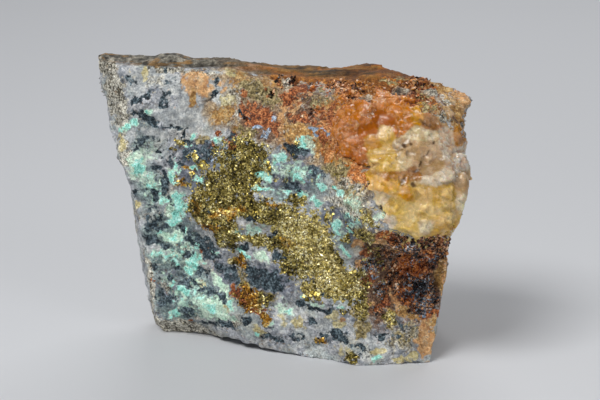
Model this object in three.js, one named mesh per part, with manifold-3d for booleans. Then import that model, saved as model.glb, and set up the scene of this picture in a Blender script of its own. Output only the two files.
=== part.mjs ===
// Chalcopyrite with linarite: a broken hand specimen of copper ore, one solid stone.
// It is a six-sided block of altered rock. Its front face carries a swelling mass of massive
// chalcopyrite, a proud lump of iron-stained quartz crystals high on the right, and a rusty
// hollow of goethite under that lump. The top is foliated, the other sides are plain breaks.
//
// Millimetres, +Z up. The mineral face looks towards -Y. The stone stands on a flat break at
// z = 0, and the origin is on that plane, under the middle of the stone's bounding box.

import * as THREE from "three";
import { ImprovedNoise } from "three/addons/math/ImprovedNoise.js";
import { mergeVertices } from "three/addons/utils/BufferGeometryUtils.js";
import Module from "manifold-3d";

const wasm = await Module();
wasm.setup();

// ---------------------------------------------------------------- driving dimensions

const CELLS = { across: 40, up: 32, deep: 8 }; // faces of the block's grid along X, Z and Y
const BASE_LIFT = 0.5; // everything lower than this is broken off flat, and becomes z = 0
const BACK_BULGE = 1.6; // how far the middle of the back swells out
const SIDE_BULGE = 0.8; // and the middles of the other sides
const FACE_REACH = 0.28; // the face's relief fades out this far into the block, of its depth
const HACKLY_FROM = { start: 0.1, full: 0.5 }; // the depth where knobs give way to hackles

// Roughness: the wavelength and height of each layer. The mineral face is knobbly, and the plain
// breaks behind it are hackly, with sharp ridges between shallow scoops.
const KNOBS = [
  { wave: 21, height: 1.3 },
  { wave: 9.5, height: 0.8 },
  { wave: 4.8, height: 0.5 },
];
const HACKLES = [
  { wave: 26, height: 2.8 },
  { wave: 12, height: 2.0 },
  { wave: 5.5, height: 1.0 },
];

// ---------------------------------------------------------------- the block's twelve corners and edges

const edge = (...points) =>
  new THREE.CatmullRomCurve3(
    points.map((p) => new THREE.Vector3(...p)),
    false,
    "centripetal",
  );

// The rim of the mineral face. Left and right run upwards, bottom and top run to the right.
const FRONT = {
  left: edge(
    [-29, 1, 0],
    [-31, 0.5, 9],
    [-33.5, 2, 24],
    [-35.5, 3, 35],
    [-36.5, 3, 41],
    [-38.5, 4, 44.5],
    [-37, 5, 50],
    [-37.5, 6, 57],
    [-38.5, 7, 63.5],
  ),
  right: edge(
    [33, -18, 0],
    [34.5, -16, 9],
    [36, -14, 19],
    [36.5, -15, 28],
    [39.5, -15, 34],
    [40.5, -12, 41],
    [39.5, -9, 48],
    [40, -6, 56],
  ),
  bottom: edge(
    [-29, 1, 0],
    [-23.5, 0, 0],
    [-18, -2, 0.6],
    [-12.5, -6, 2.2],
    [-5.5, -10, 1.6],
    [3.5, -14, 0.6],
    [16, -19, 0],
    [25, -18, 0],
    [33, -18, 0],
  ),
  top: edge(
    [-38.5, 7, 63.5],
    [-31, 6, 64],
    [-22, 4, 64],
    [-15, 2, 63.3],
    [-8, 0, 61.7],
    [1, -3, 60],
    [12.5, -6, 59],
    [26, -8, 58.5],
    [35, -8, 58],
    [40, -6, 56],
  ),
};

// The rim of the plain break behind. It is thin above and thick below, so that the stone stands.
const BACK = {
  left: edge([-28, 20, 0], [-30, 18, 14], [-32, 16, 26], [-35, 13, 38], [-39.5, 12, 48], [-43, 13, 65]),
  right: edge([30, 22, 0], [33.5, 20, 14], [36, 16, 28], [39, 12, 42], [42, 4, 57]),
  bottom: edge([-30, 20, 0], [-12, 24, 0], [10, 25, 0], [30, 22, 0]),
  top: edge(
    [-43, 14, 64],
    [-28, 13, 64.7],
    [-8, 11, 63.7],
    [10, 9, 63.2],
    [23, 8, 63.2],
    [30, 7, 62.8],
    [36, 6, 61.2],
    [42, 4, 57.6],
  ),
};

// A four-sided patch through its rim curves: across and up run from 0 to 1.
function patch(rim, across, up) {
  const sides = rim.left
    .getPoint(up)
    .multiplyScalar(1 - across)
    .addScaledVector(rim.right.getPoint(up), across);
  const ends = rim.bottom
    .getPoint(across)
    .multiplyScalar(1 - up)
    .addScaledVector(rim.top.getPoint(across), up);
  const corners = new THREE.Vector3()
    .addScaledVector(rim.left.getPoint(0), (1 - across) * (1 - up))
    .addScaledVector(rim.right.getPoint(0), across * (1 - up))
    .addScaledVector(rim.left.getPoint(1), (1 - across) * up)
    .addScaledVector(rim.right.getPoint(1), across * up);
  return sides.add(ends).sub(corners);
}

// ---------------------------------------------------------------- relief of the mineral face

// Each form is an ellipse on the face, given by its middle (x, z), its half sizes and its turn in
// degrees. It stands out by its height, or sinks where that is negative. A firm form has a flat
// middle and steep flanks, and a soft one is rounded.
const FORMS = [
  { name: "quartz shoulder", x: 26, z: 44, a: 16, b: 14, turn: -8, height: 6.4, firm: 4 },
  { name: "quartz foot", x: 30, z: 36, a: 11, b: 7, turn: 5, height: 2.5, firm: 4 },
  { name: "goethite hollow", x: 26, z: 20.5, a: 12, b: 9.5, turn: 12, height: -4.2, firm: 2 },
  { name: "chalcopyrite swell", x: 3, z: 26, a: 23, b: 12, turn: -20, height: 2.2, firm: 3 },
  { name: "brassy ledge", x: -9, z: 31, a: 9.5, b: 2.6, turn: 18, height: 1.3, firm: 4 },
  { name: "brassy plate", x: 10, z: 24.5, a: 8, b: 6.5, turn: -15, height: 1.4, firm: 5 },
  { name: "lower plate", x: 14, z: 13.5, a: 6.5, b: 4, turn: -25, height: 1.2, firm: 5 },
  { name: "chalcopyrite crest", x: -5, z: 43, a: 10, b: 7, turn: 10, height: 1.4, firm: 3 },
  { name: "linarite dip", x: 2, z: 38, a: 9, b: 3.4, turn: -12, height: -1.7, firm: 2 },
  { name: "pale lens", x: -27, z: 54, a: 8, b: 5, turn: -20, height: 1.9, firm: 3 },
  { name: "left bulge", x: -36.5, z: 42.5, a: 4.2, b: 4.4, turn: 0, height: 2.2, firm: 2 },
  { name: "orange knob", x: -19.5, z: 60, a: 3.8, b: 3.4, turn: 0, height: 1.2, firm: 3 },
  { name: "khaki hollow", x: -5.5, z: 57.5, a: 5.5, b: 4.0, turn: -25, height: -2.8, firm: 2 },
  { name: "rust shelf", x: 7, z: 53, a: 11, b: 3.6, turn: 6, height: 1.6, firm: 3 },
  { name: "left hollow", x: -26, z: 22, a: 5, b: 8, turn: 10, height: -1.6, firm: 2 },
  { name: "mint knob", x: -19, z: 8.5, a: 7, b: 4, turn: -5, height: 1.6, firm: 2 },
  { name: "copper knob", x: -8, z: 12.5, a: 4.5, b: 5.5, turn: 0, height: 2.0, firm: 2 },
  { name: "slate hollow", x: -10.5, z: 19.5, a: 6, b: 3.6, turn: -30, height: -1.8, firm: 2 },
  { name: "toe", x: 23, z: 4, a: 10, b: 5, turn: 4, height: 1.8, firm: 3 },
  { name: "beige foot", x: -25, z: 0, a: 9, b: 4.2, turn: -6, height: -2.4, firm: 8 },
];

function formHeight(form, x, z) {
  const turn = THREE.MathUtils.degToRad(form.turn);
  const along = ((x - form.x) * Math.cos(turn) + (z - form.z) * Math.sin(turn)) / form.a;
  const over = ((z - form.z) * Math.cos(turn) - (x - form.x) * Math.sin(turn)) / form.b;
  const radius = Math.hypot(along, over);
  return form.height / (1 + radius ** (2 * form.firm));
}

// ---------------------------------------------------------------- roughness

const perlin = new ImprovedNoise();

const layerNoise = (p, wave, i) =>
  perlin.noise(p.x / wave + 17.3 * i, p.y / wave - 9.1, p.z / wave + 4.7 * i);

function knobbly(p) {
  return KNOBS.reduce((sum, { wave, height }, i) => sum + height * layerNoise(p, wave, i), 0);
}

function hackly(p) {
  const ridge = (noise) => 0.3 - Math.abs(noise);
  return HACKLES.reduce((sum, { wave, height }, i) => sum + height * ridge(layerNoise(p, wave, i)), 0);
}

// The top break follows the rock's foliation: long low ribs that run from left to right, in the
// uppermost tenth of the block.
const FOLIATION = { wave: 2.6, height: 0.55, stretch: 7, from: 0.9 };

function foliation(p) {
  const { wave, height, stretch } = FOLIATION;
  return height * perlin.noise(p.x / (wave * stretch), p.y / wave, p.z / wave + 31);
}

// ---------------------------------------------------------------- the stone

const FACE_OUT = new THREE.Vector3(-0.22, -0.95, 0.2).normalize(); // the mineral face looks this way
const BACK_OUT = new THREE.Vector3(0, 0.98, 0.2);
const MIDDLE = new THREE.Vector3(0, 3, 30);

// Where a point of the block's grid lies: across and up run from 0 to 1, deep from 0 in front to 1.
function stonePoint(across, up, deep) {
  const p = patch(FRONT, across, up).lerp(patch(BACK, across, up), deep);
  const face = { x: p.x, z: p.z };

  // Side breaks swell between their edges, and so does the back.
  const swell = (t) => 4 * t * (1 - t);
  const outwards = p.clone().sub(MIDDLE).setY(0).normalize();
  const onSide = [across, up].some((t) => t === 0 || t === 1);
  if (onSide) p.addScaledVector(outwards, SIDE_BULGE * swell(deep));
  if (deep === 1) p.y += BACK_BULGE * swell(across) * swell(up);

  // The forms of the mineral face fade out just behind its rim.
  const front = 1 - THREE.MathUtils.smoothstep(deep, 0, FACE_REACH);
  const relief = FORMS.reduce((sum, form) => sum + formHeight(form, face.x, face.z), 0);
  p.addScaledVector(FACE_OUT, relief * front);

  const normal = deep === 0 ? FACE_OUT : deep === 1 ? BACK_OUT : outwards;
  const behind = THREE.MathUtils.smoothstep(deep, HACKLY_FROM.start, HACKLY_FROM.full);
  p.addScaledVector(normal, THREE.MathUtils.lerp(knobbly(p), hackly(p), behind));
  if (up > FOLIATION.from) p.addScaledVector(normal, foliation(p));

  p.z = Math.max(p.z - BASE_LIFT, 0);
  return p;
}

// The block's geometry, and the points of its mineral face.
function stoneBlock() {
  const { across, up, deep } = CELLS;
  const block = new THREE.BoxGeometry(1, 1, 1, across, up, deep);
  block.deleteAttribute("normal");
  block.deleteAttribute("uv");
  const merged = mergeVertices(block);
  const grid = merged.getAttribute("position");
  const face = [];
  for (let i = 0; i < grid.count; i++) {
    // BoxGeometry's Z is the block's depth, with its +Z side in front, and its Y is the height.
    const inward = 0.5 - grid.getZ(i);
    const p = stonePoint(grid.getX(i) + 0.5, grid.getY(i) + 0.5, inward);
    grid.setXYZ(i, p.x, p.y, p.z);
    if (inward === 0) face.push(p);
  }
  return { geometry: merged, face };
}

// ---------------------------------------------------------------- quartz crystals

// Stout quartz crystals and broken blocks, grown together into one lump, so that only their flat
// caps show. Each has its middle on the face (x, z), its radius, and how far its cap stands out.
const QUARTZ = [
  { x: 14, z: 51.5, r: 7.0, stand: 0.9 },
  { x: 18.5, z: 54, r: 7.6, stand: 1.2 },
  { x: 25, z: 54, r: 8.6, stand: 1.5 },
  { x: 31, z: 53, r: 8.2, stand: 1.5 },
  { x: 35.2, z: 51, r: 5.8, stand: 1.6 },
  { x: 17, z: 47, r: 8.4, stand: 1.8 },
  { x: 23, z: 48, r: 9.4, stand: 2.0 },
  { x: 29.5, z: 47, r: 9.6, stand: 2.4 },
  { x: 35.2, z: 45.5, r: 6.2, stand: 1.9 },
  { x: 18.5, z: 41, r: 7.6, stand: 1.6 },
  { x: 24.5, z: 42, r: 9.6, stand: 2.4 },
  { x: 30.5, z: 41, r: 9.4, stand: 2.9 },
  { x: 34.6, z: 40.5, r: 5.8, stand: 2.0 },
  { x: 22, z: 36.5, r: 7.4, stand: 2.0 },
  { x: 27.5, z: 36, r: 9.2, stand: 2.8 },
  { x: 31.8, z: 36.5, r: 7.2, stand: 2.6 },
  { x: 29.5, z: 32.5, r: 6.8, stand: 2.2 },
];

// A block is a scalene dodecahedron, wider than it is deep. Each is turned its own way, so that no
// two show the same facets.
const BLOCK_SHAPE = { wide: 1.05, deep: 0.8, high: 0.95 };

function quartzGeometry({ x, z, r, stand }, index, face) {
  const distance = (p) => Math.hypot(p.x - x, p.z - z);
  const nearest = face.reduce((best, p) => (distance(p) < distance(best) ? p : best));
  const { wide, deep, high } = BLOCK_SHAPE;
  return new THREE.DodecahedronGeometry(1, 0)
    .rotateX(1.7 * index)
    .rotateY(2.4 * index)
    .scale(r * wide, r * deep, r * high)
    .rotateX(0.25 * Math.sin(5 * index))
    .translate(...nearest.clone().addScaledVector(FACE_OUT, stand - r * deep).toArray());
}

// ---------------------------------------------------------------- struck scars behind

// Flat scars: all of the stone on the outer side of each plane was knocked off.
const SCARS = [
  { through: [-31, 17, 16], out: [-0.65, 0.7, -0.3] },
  { through: [30.5, 19.5, 12], out: [0.7, 0.7, -0.15] },
  { through: [20, 19, 38], out: [0.35, 0.85, 0.4] },
];
const SCAR_SIZE = 120;

function scarGeometry({ through, out }) {
  const outwards = new THREE.Vector3(...out).normalize();
  const aim = new THREE.Quaternion().setFromUnitVectors(new THREE.Vector3(0, 0, 1), outwards);
  const middle = new THREE.Vector3(...through).addScaledVector(outwards, SCAR_SIZE / 2);
  return new THREE.BoxGeometry(SCAR_SIZE, SCAR_SIZE, SCAR_SIZE)
    .applyQuaternion(aim)
    .translate(...middle.toArray());
}

// One shell-shaped scar, the dish that a blow leaves.
const DISH = { at: [-12, 61, 34], r: 43 };

const dishGeometry = () => new THREE.IcosahedronGeometry(DISH.r, 9).translate(...DISH.at);

// ---------------------------------------------------------------- joining

function solid(geometry) {
  const bare = geometry.clone();
  bare.deleteAttribute("normal");
  bare.deleteAttribute("uv");
  const merged = mergeVertices(bare, 1e-3);
  return new wasm.Manifold(
    new wasm.Mesh({
      numProp: 3,
      vertProperties: new Float32Array(merged.getAttribute("position").array),
      triVerts: new Uint32Array(merged.index.array),
    }),
  );
}

function geometryOf(manifold) {
  const mesh = manifold.getMesh();
  const geometry = new THREE.BufferGeometry();
  geometry.setAttribute("position", new THREE.BufferAttribute(mesh.vertProperties, 3));
  geometry.setIndex(new THREE.BufferAttribute(mesh.triVerts, 1));
  return geometry;
}

const { geometry: blockGeometry, face } = stoneBlock();
const scars = [...SCARS.map(scarGeometry), dishGeometry()].map(solid);
const quartz = QUARTZ.map((block, index) => solid(quartzGeometry(block, index, face)));
const scarred = scars.reduce((whole, scar) => whole.subtract(scar), solid(blockGeometry));
const stone = quartz.reduce((whole, block) => whole.add(block), scarred);

const geometry = geometryOf(stone);
geometry.computeBoundingBox();
const box = geometry.boundingBox;
geometry.translate(-(box.min.x + box.max.x) / 2, -(box.min.y + box.max.y) / 2, -box.min.z);
geometry.computeVertexNormals();

const specimen = new THREE.Mesh(
  geometry,
  new THREE.MeshStandardMaterial({
    color: new THREE.Color(0.56, 0.54, 0.47),
    roughness: 0.75,
    metalness: 0.1,
    flatShading: true,
  }),
);
specimen.name = "chalcopyrite_specimen";

const group = new THREE.Group();
group.add(specimen);

export default group;
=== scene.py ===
# %% [markdown]
# # Chalcopyrite with linarite: dressing a solid stone
#
# The stone comes in as one plain solid, at its real size. This notebook gives it its surfaces: the
# pale altered rock with its dark and blue-green minerals, the brassy chalcopyrite, the rusty
# hollow and the lump of quartz. Everything is placed in millimetres on the stone, from its box.
# First the frame is loaded, and its box is measured before anything is added.

# %% Load the solid stone
import bmesh
import bpy
import numpy as np
from mathutils import Matrix, Vector, noise
from mathutils.bvhtree import BVHTree


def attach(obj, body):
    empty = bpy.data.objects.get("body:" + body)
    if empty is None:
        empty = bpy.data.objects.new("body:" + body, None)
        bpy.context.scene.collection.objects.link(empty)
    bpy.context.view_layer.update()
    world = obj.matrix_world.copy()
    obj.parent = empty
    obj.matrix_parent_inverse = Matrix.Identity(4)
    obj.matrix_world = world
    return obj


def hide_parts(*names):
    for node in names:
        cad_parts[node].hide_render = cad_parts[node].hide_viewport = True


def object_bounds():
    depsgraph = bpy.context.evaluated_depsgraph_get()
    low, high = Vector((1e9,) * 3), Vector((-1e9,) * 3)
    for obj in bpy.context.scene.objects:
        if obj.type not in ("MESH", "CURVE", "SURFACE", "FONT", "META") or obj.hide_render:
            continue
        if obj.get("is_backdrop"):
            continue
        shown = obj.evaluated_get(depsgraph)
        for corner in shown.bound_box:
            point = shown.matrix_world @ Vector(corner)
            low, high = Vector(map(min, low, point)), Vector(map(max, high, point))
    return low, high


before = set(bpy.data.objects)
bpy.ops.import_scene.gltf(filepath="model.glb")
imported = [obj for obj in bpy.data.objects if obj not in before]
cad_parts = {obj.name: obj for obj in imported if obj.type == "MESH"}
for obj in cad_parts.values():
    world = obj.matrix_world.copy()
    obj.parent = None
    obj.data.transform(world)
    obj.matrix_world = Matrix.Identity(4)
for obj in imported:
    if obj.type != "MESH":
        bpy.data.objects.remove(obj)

MM = 0.001
STONE = "chalcopyrite_specimen"
cad_low, cad_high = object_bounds()
print("the solid stone, in mm:", [round(side / MM, 1) for side in cad_high - cad_low])

# %% [markdown]
# ## Camera
#
# A small stone is seen through a long lens from half a metre away, a little from above. A short
# lens close by would swell the middle of the face. The camera looks at a point near the middle of
# the box, and a track quaternion turns it there.

# %% Camera
LENS = 130
DISTANCE = 500 * MM
ELEVATION = np.radians(16)
AIM_OFF_MIDDLE = Vector((3.76, 0.31, 0.57)) * MM

middle = (cad_low + cad_high) / 2
aim = middle + AIM_OFF_MIDDLE
backwards = Vector((0, -np.cos(ELEVATION), np.sin(ELEVATION)))
camera_data = bpy.data.cameras.new("camera")
camera_data.lens = LENS
camera = bpy.data.objects.new("camera", camera_data)
camera.location = aim + backwards * DISTANCE
camera.rotation_mode = "QUATERNION"
camera.rotation_quaternion = (-backwards).to_track_quat("-Z", "Y")
bpy.context.scene.collection.objects.link(camera)
bpy.context.scene.camera = camera
print("camera at, in mm:", [round(value / MM) for value in camera.location])

# %% [markdown]
# ## Floor and light
#
# A plain pale floor and soft boxes, as in a product studio. Metal grains need something bright and
# something dim to mirror, so the world stays dim and the boxes do the lighting: a large key above
# on the left, a weaker fill on the right, and a strip behind that picks out the rims.

# %% Floor
FLOOR_REACH = 1.6
FLOOR_GAP = 0.02 * MM

floor_mesh = bpy.data.meshes.new("floor")
shape = bmesh.new()
bmesh.ops.create_circle(shape, cap_ends=True, segments=64, radius=FLOOR_REACH)
shape.to_mesh(floor_mesh)
shape.free()
floor_mesh.transform(Matrix.Translation((0, 0, cad_low.z - FLOOR_GAP)))
floor = bpy.data.objects.new("floor", floor_mesh)
bpy.context.scene.collection.objects.link(floor)
floor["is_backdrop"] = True
floor_finish = bpy.data.materials.new("pale_floor")
floor_finish.use_nodes = True
floor_shader = floor_finish.node_tree.nodes["Principled BSDF"]
floor_shader.inputs["Base Color"].default_value = (0.62, 0.63, 0.65, 1)
floor_shader.inputs["Roughness"].default_value = 0.55
floor_mesh.materials.append(floor_finish)
print("the floor is", 2 * FLOOR_REACH, "m across")

# %% Lights
world = bpy.data.worlds.new("studio")
world.use_nodes = True
world.node_tree.nodes["Background"].inputs["Color"].default_value = (0.58, 0.6, 0.64, 1)
world.node_tree.nodes["Background"].inputs["Strength"].default_value = 0.25
bpy.context.scene.world = world
bpy.context.scene.view_settings.view_transform = "Standard"


def soft_box(name, place, size, power, tint=(1, 1, 1)):
    """An area light at a place in metres, turned to the stone's middle."""
    data = bpy.data.lights.new(name, "AREA")
    data.shape = "RECTANGLE"
    data.size, data.size_y = size
    data.energy = power
    data.color = tint
    light = bpy.data.objects.new(name, data)
    light.location = place
    light.rotation_mode = "QUATERNION"
    light.rotation_quaternion = (middle - Vector(place)).to_track_quat("-Z", "Y")
    bpy.context.scene.collection.objects.link(light)


soft_box("key", (-0.28, -0.34, 0.62), (0.34, 0.26), 4.2)
soft_box("fill", (0.55, -0.5, 0.3), (0.3, 0.3), 0.9)
soft_box("rim", (0.15, 0.55, 0.5), (0.6, 0.12), 1.8)

# %% [markdown]
# ## The rock's surface: a finer skin on the solid
#
# The solid has about eight thousand triangles, too few for grains and pits. A subdivision would
# keep its long thin triangles, so a voxel remesh is used: it lays an even net of small quads over
# a merged copy.

# %% A net of even quads
NET = 0.72 * MM


def add_object(name, mesh):
    """Links a mesh into the scene as an object at the origin."""
    made = bpy.data.objects.new(name, mesh)
    bpy.context.scene.collection.objects.link(made)
    return made


def remeshed(name, mesh, voxel):
    """Lays an even net of quads over a closed mesh."""
    piece = add_object(name, mesh)
    remesh = piece.modifiers.new("net", "REMESH")
    remesh.mode = "VOXEL"
    remesh.voxel_size = voxel
    fine = bpy.data.meshes.new_from_object(piece.evaluated_get(bpy.context.evaluated_depsgraph_get()))
    bpy.data.objects.remove(piece)
    fine.name = name
    return fine


def points_of(mesh, kind="vertices", key="co"):
    """A mesh's points as rows of x, y and z. Places are in millimetres, normals are unit long."""
    rows = getattr(mesh, kind)
    flat = np.zeros(len(rows) * 3, np.float32)
    rows.foreach_get(key, flat)
    return flat.reshape(-1, 3).astype(float) / (MM if key in ("co", "center") else 1)


shape = bmesh.new()
shape.from_mesh(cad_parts[STONE].data)
bmesh.ops.remove_doubles(shape, verts=shape.verts, dist=0.001 * MM)
merged = bpy.data.meshes.new("merged")
shape.to_mesh(merged)
shape.free()
net = remeshed("rock", merged, NET)
print("the net has", len(net.polygons), "quads")

# %% [markdown]
# ## Which side of the stone is a point on?
#
# The minerals are laid out on the face by x and z alone, so a point on the back would get them
# too. A ray from the front tells them apart: a point is on the mineral face when nothing lies
# before it. The top break starts above a rim that falls gently to the right. Over the quartz the
# face steps back in a ledge, where a few millimetres more are allowed, so that it counts as face.

# %% Front and top
RIM_X = (-38.5, -15, -7.5, 0, 6, 15, 25, 31, 36, 41)
RIM_Z = (63.6, 63.4, 62.7, 62.2, 61.7, 61.9, 62.3, 61.8, 60.8, 58.6)
# A point stops being on the face as it goes this far behind the first hit of its ray, in mm.
BEHIND = (0.9, 2.6)
# The ledge begins between these two heights and these two places across, and is this deep, in mm.
LEDGE_Z = (57.5, 59)
LEDGE_X = (18, 22)
LEDGE_DEPTH = 5
# A ray that misses the stone counts as hitting something far in front.
MISSED = -100

net_tree = BVHTree.FromPolygons(
    [vertex.co for vertex in net.vertices], [tuple(face.vertices) for face in net.polygons]
)


def smooth(low, high, value):
    """Goes from 0 to 1 as value goes from low to high."""
    share = np.clip((value - low) / (high - low), 0, 1)
    return share * share * (3 - 2 * share)


def face_hit(x, z):
    """The point and normal of the mineral face at x and z, in millimetres."""
    place, normal, _, _ = net_tree.ray_cast(Vector((x * MM, -1, z * MM)), Vector((0, 1, 0)))
    return (place / MM, normal) if place else (None, None)


def sides(points):
    """How much each point belongs to the mineral face and to the top break, from 0 to 1."""
    top = smooth(-0.5, 0.5, points[:, 2] - np.interp(points[:, 0], RIM_X, RIM_Z))
    hits = (face_hit(x, z)[0] for x, _, z in points)
    before = np.array([place.y if place else MISSED for place in hits])
    ledge = smooth(*LEDGE_Z, points[:, 2]) * smooth(*LEDGE_X, points[:, 0])
    behind = points[:, 1] - before - LEDGE_DEPTH * ledge
    return (1 - smooth(*BEHIND, behind)) * (1 - top), top


print("the face at x 0 and z 30 is at y", round(face_hit(0, 30)[0].y, 1), "mm")

# %% [markdown]
# ## A finer net on the face
#
# The net is fine enough for the back, but the eye goes to the face. So the edges of its faces are
# cut once more, except in the middle of the quartz, which hides them. Cutting the whole net would
# make it far heavier and would show nowhere.

# %% A finer face
# The middle of the quartz, in x and z, and how far it reaches from there, in mm.
LUMP_MIDDLE = (27.5, 45.5)
LUMP_REACH = (12.5, 11)
centres = points_of(net, "polygons", "center")
under_quartz = np.hypot(*((centres[:, ::2] - LUMP_MIDDLE) / LUMP_REACH).T) < 1
finer = (sides(centres)[0] > 0.5) & ~under_quartz
shape = bmesh.new()
shape.from_mesh(net)
shape.faces.ensure_lookup_table()
finer_edges = [edge for edge in shape.edges if any(finer[face.index] for face in edge.link_faces)]
bmesh.ops.subdivide_edges(shape, edges=finer_edges, cuts=1, use_grid_fill=True)
bmesh.ops.triangulate(shape, faces=[face for face in shape.faces if len(face.verts) > 4])
shape.to_mesh(net)
shape.free()
print("with a finer face it has", len(net.polygons), "faces")

# %% [markdown]
# ## Where the minerals are
#
# On a real face the minerals grew in patches, each with its own middle, size and slant. So each is
# written down as an ellipse: x and z of its middle, half its length, half its width, its turn in
# degrees, up to the right, and how fully it covers. A patch under about 0.6 covers in specks.
# Painting a picture of the face would be quicker, but it would be flat and tied to one resolution,
# whereas these patches can shape the surface, place the grains and drive the colours alike.
#
# The first ones are what weathering made of the rock: beige and cream crusts, salmon to ochre
# stains, and rust where the ore has rotted.

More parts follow.
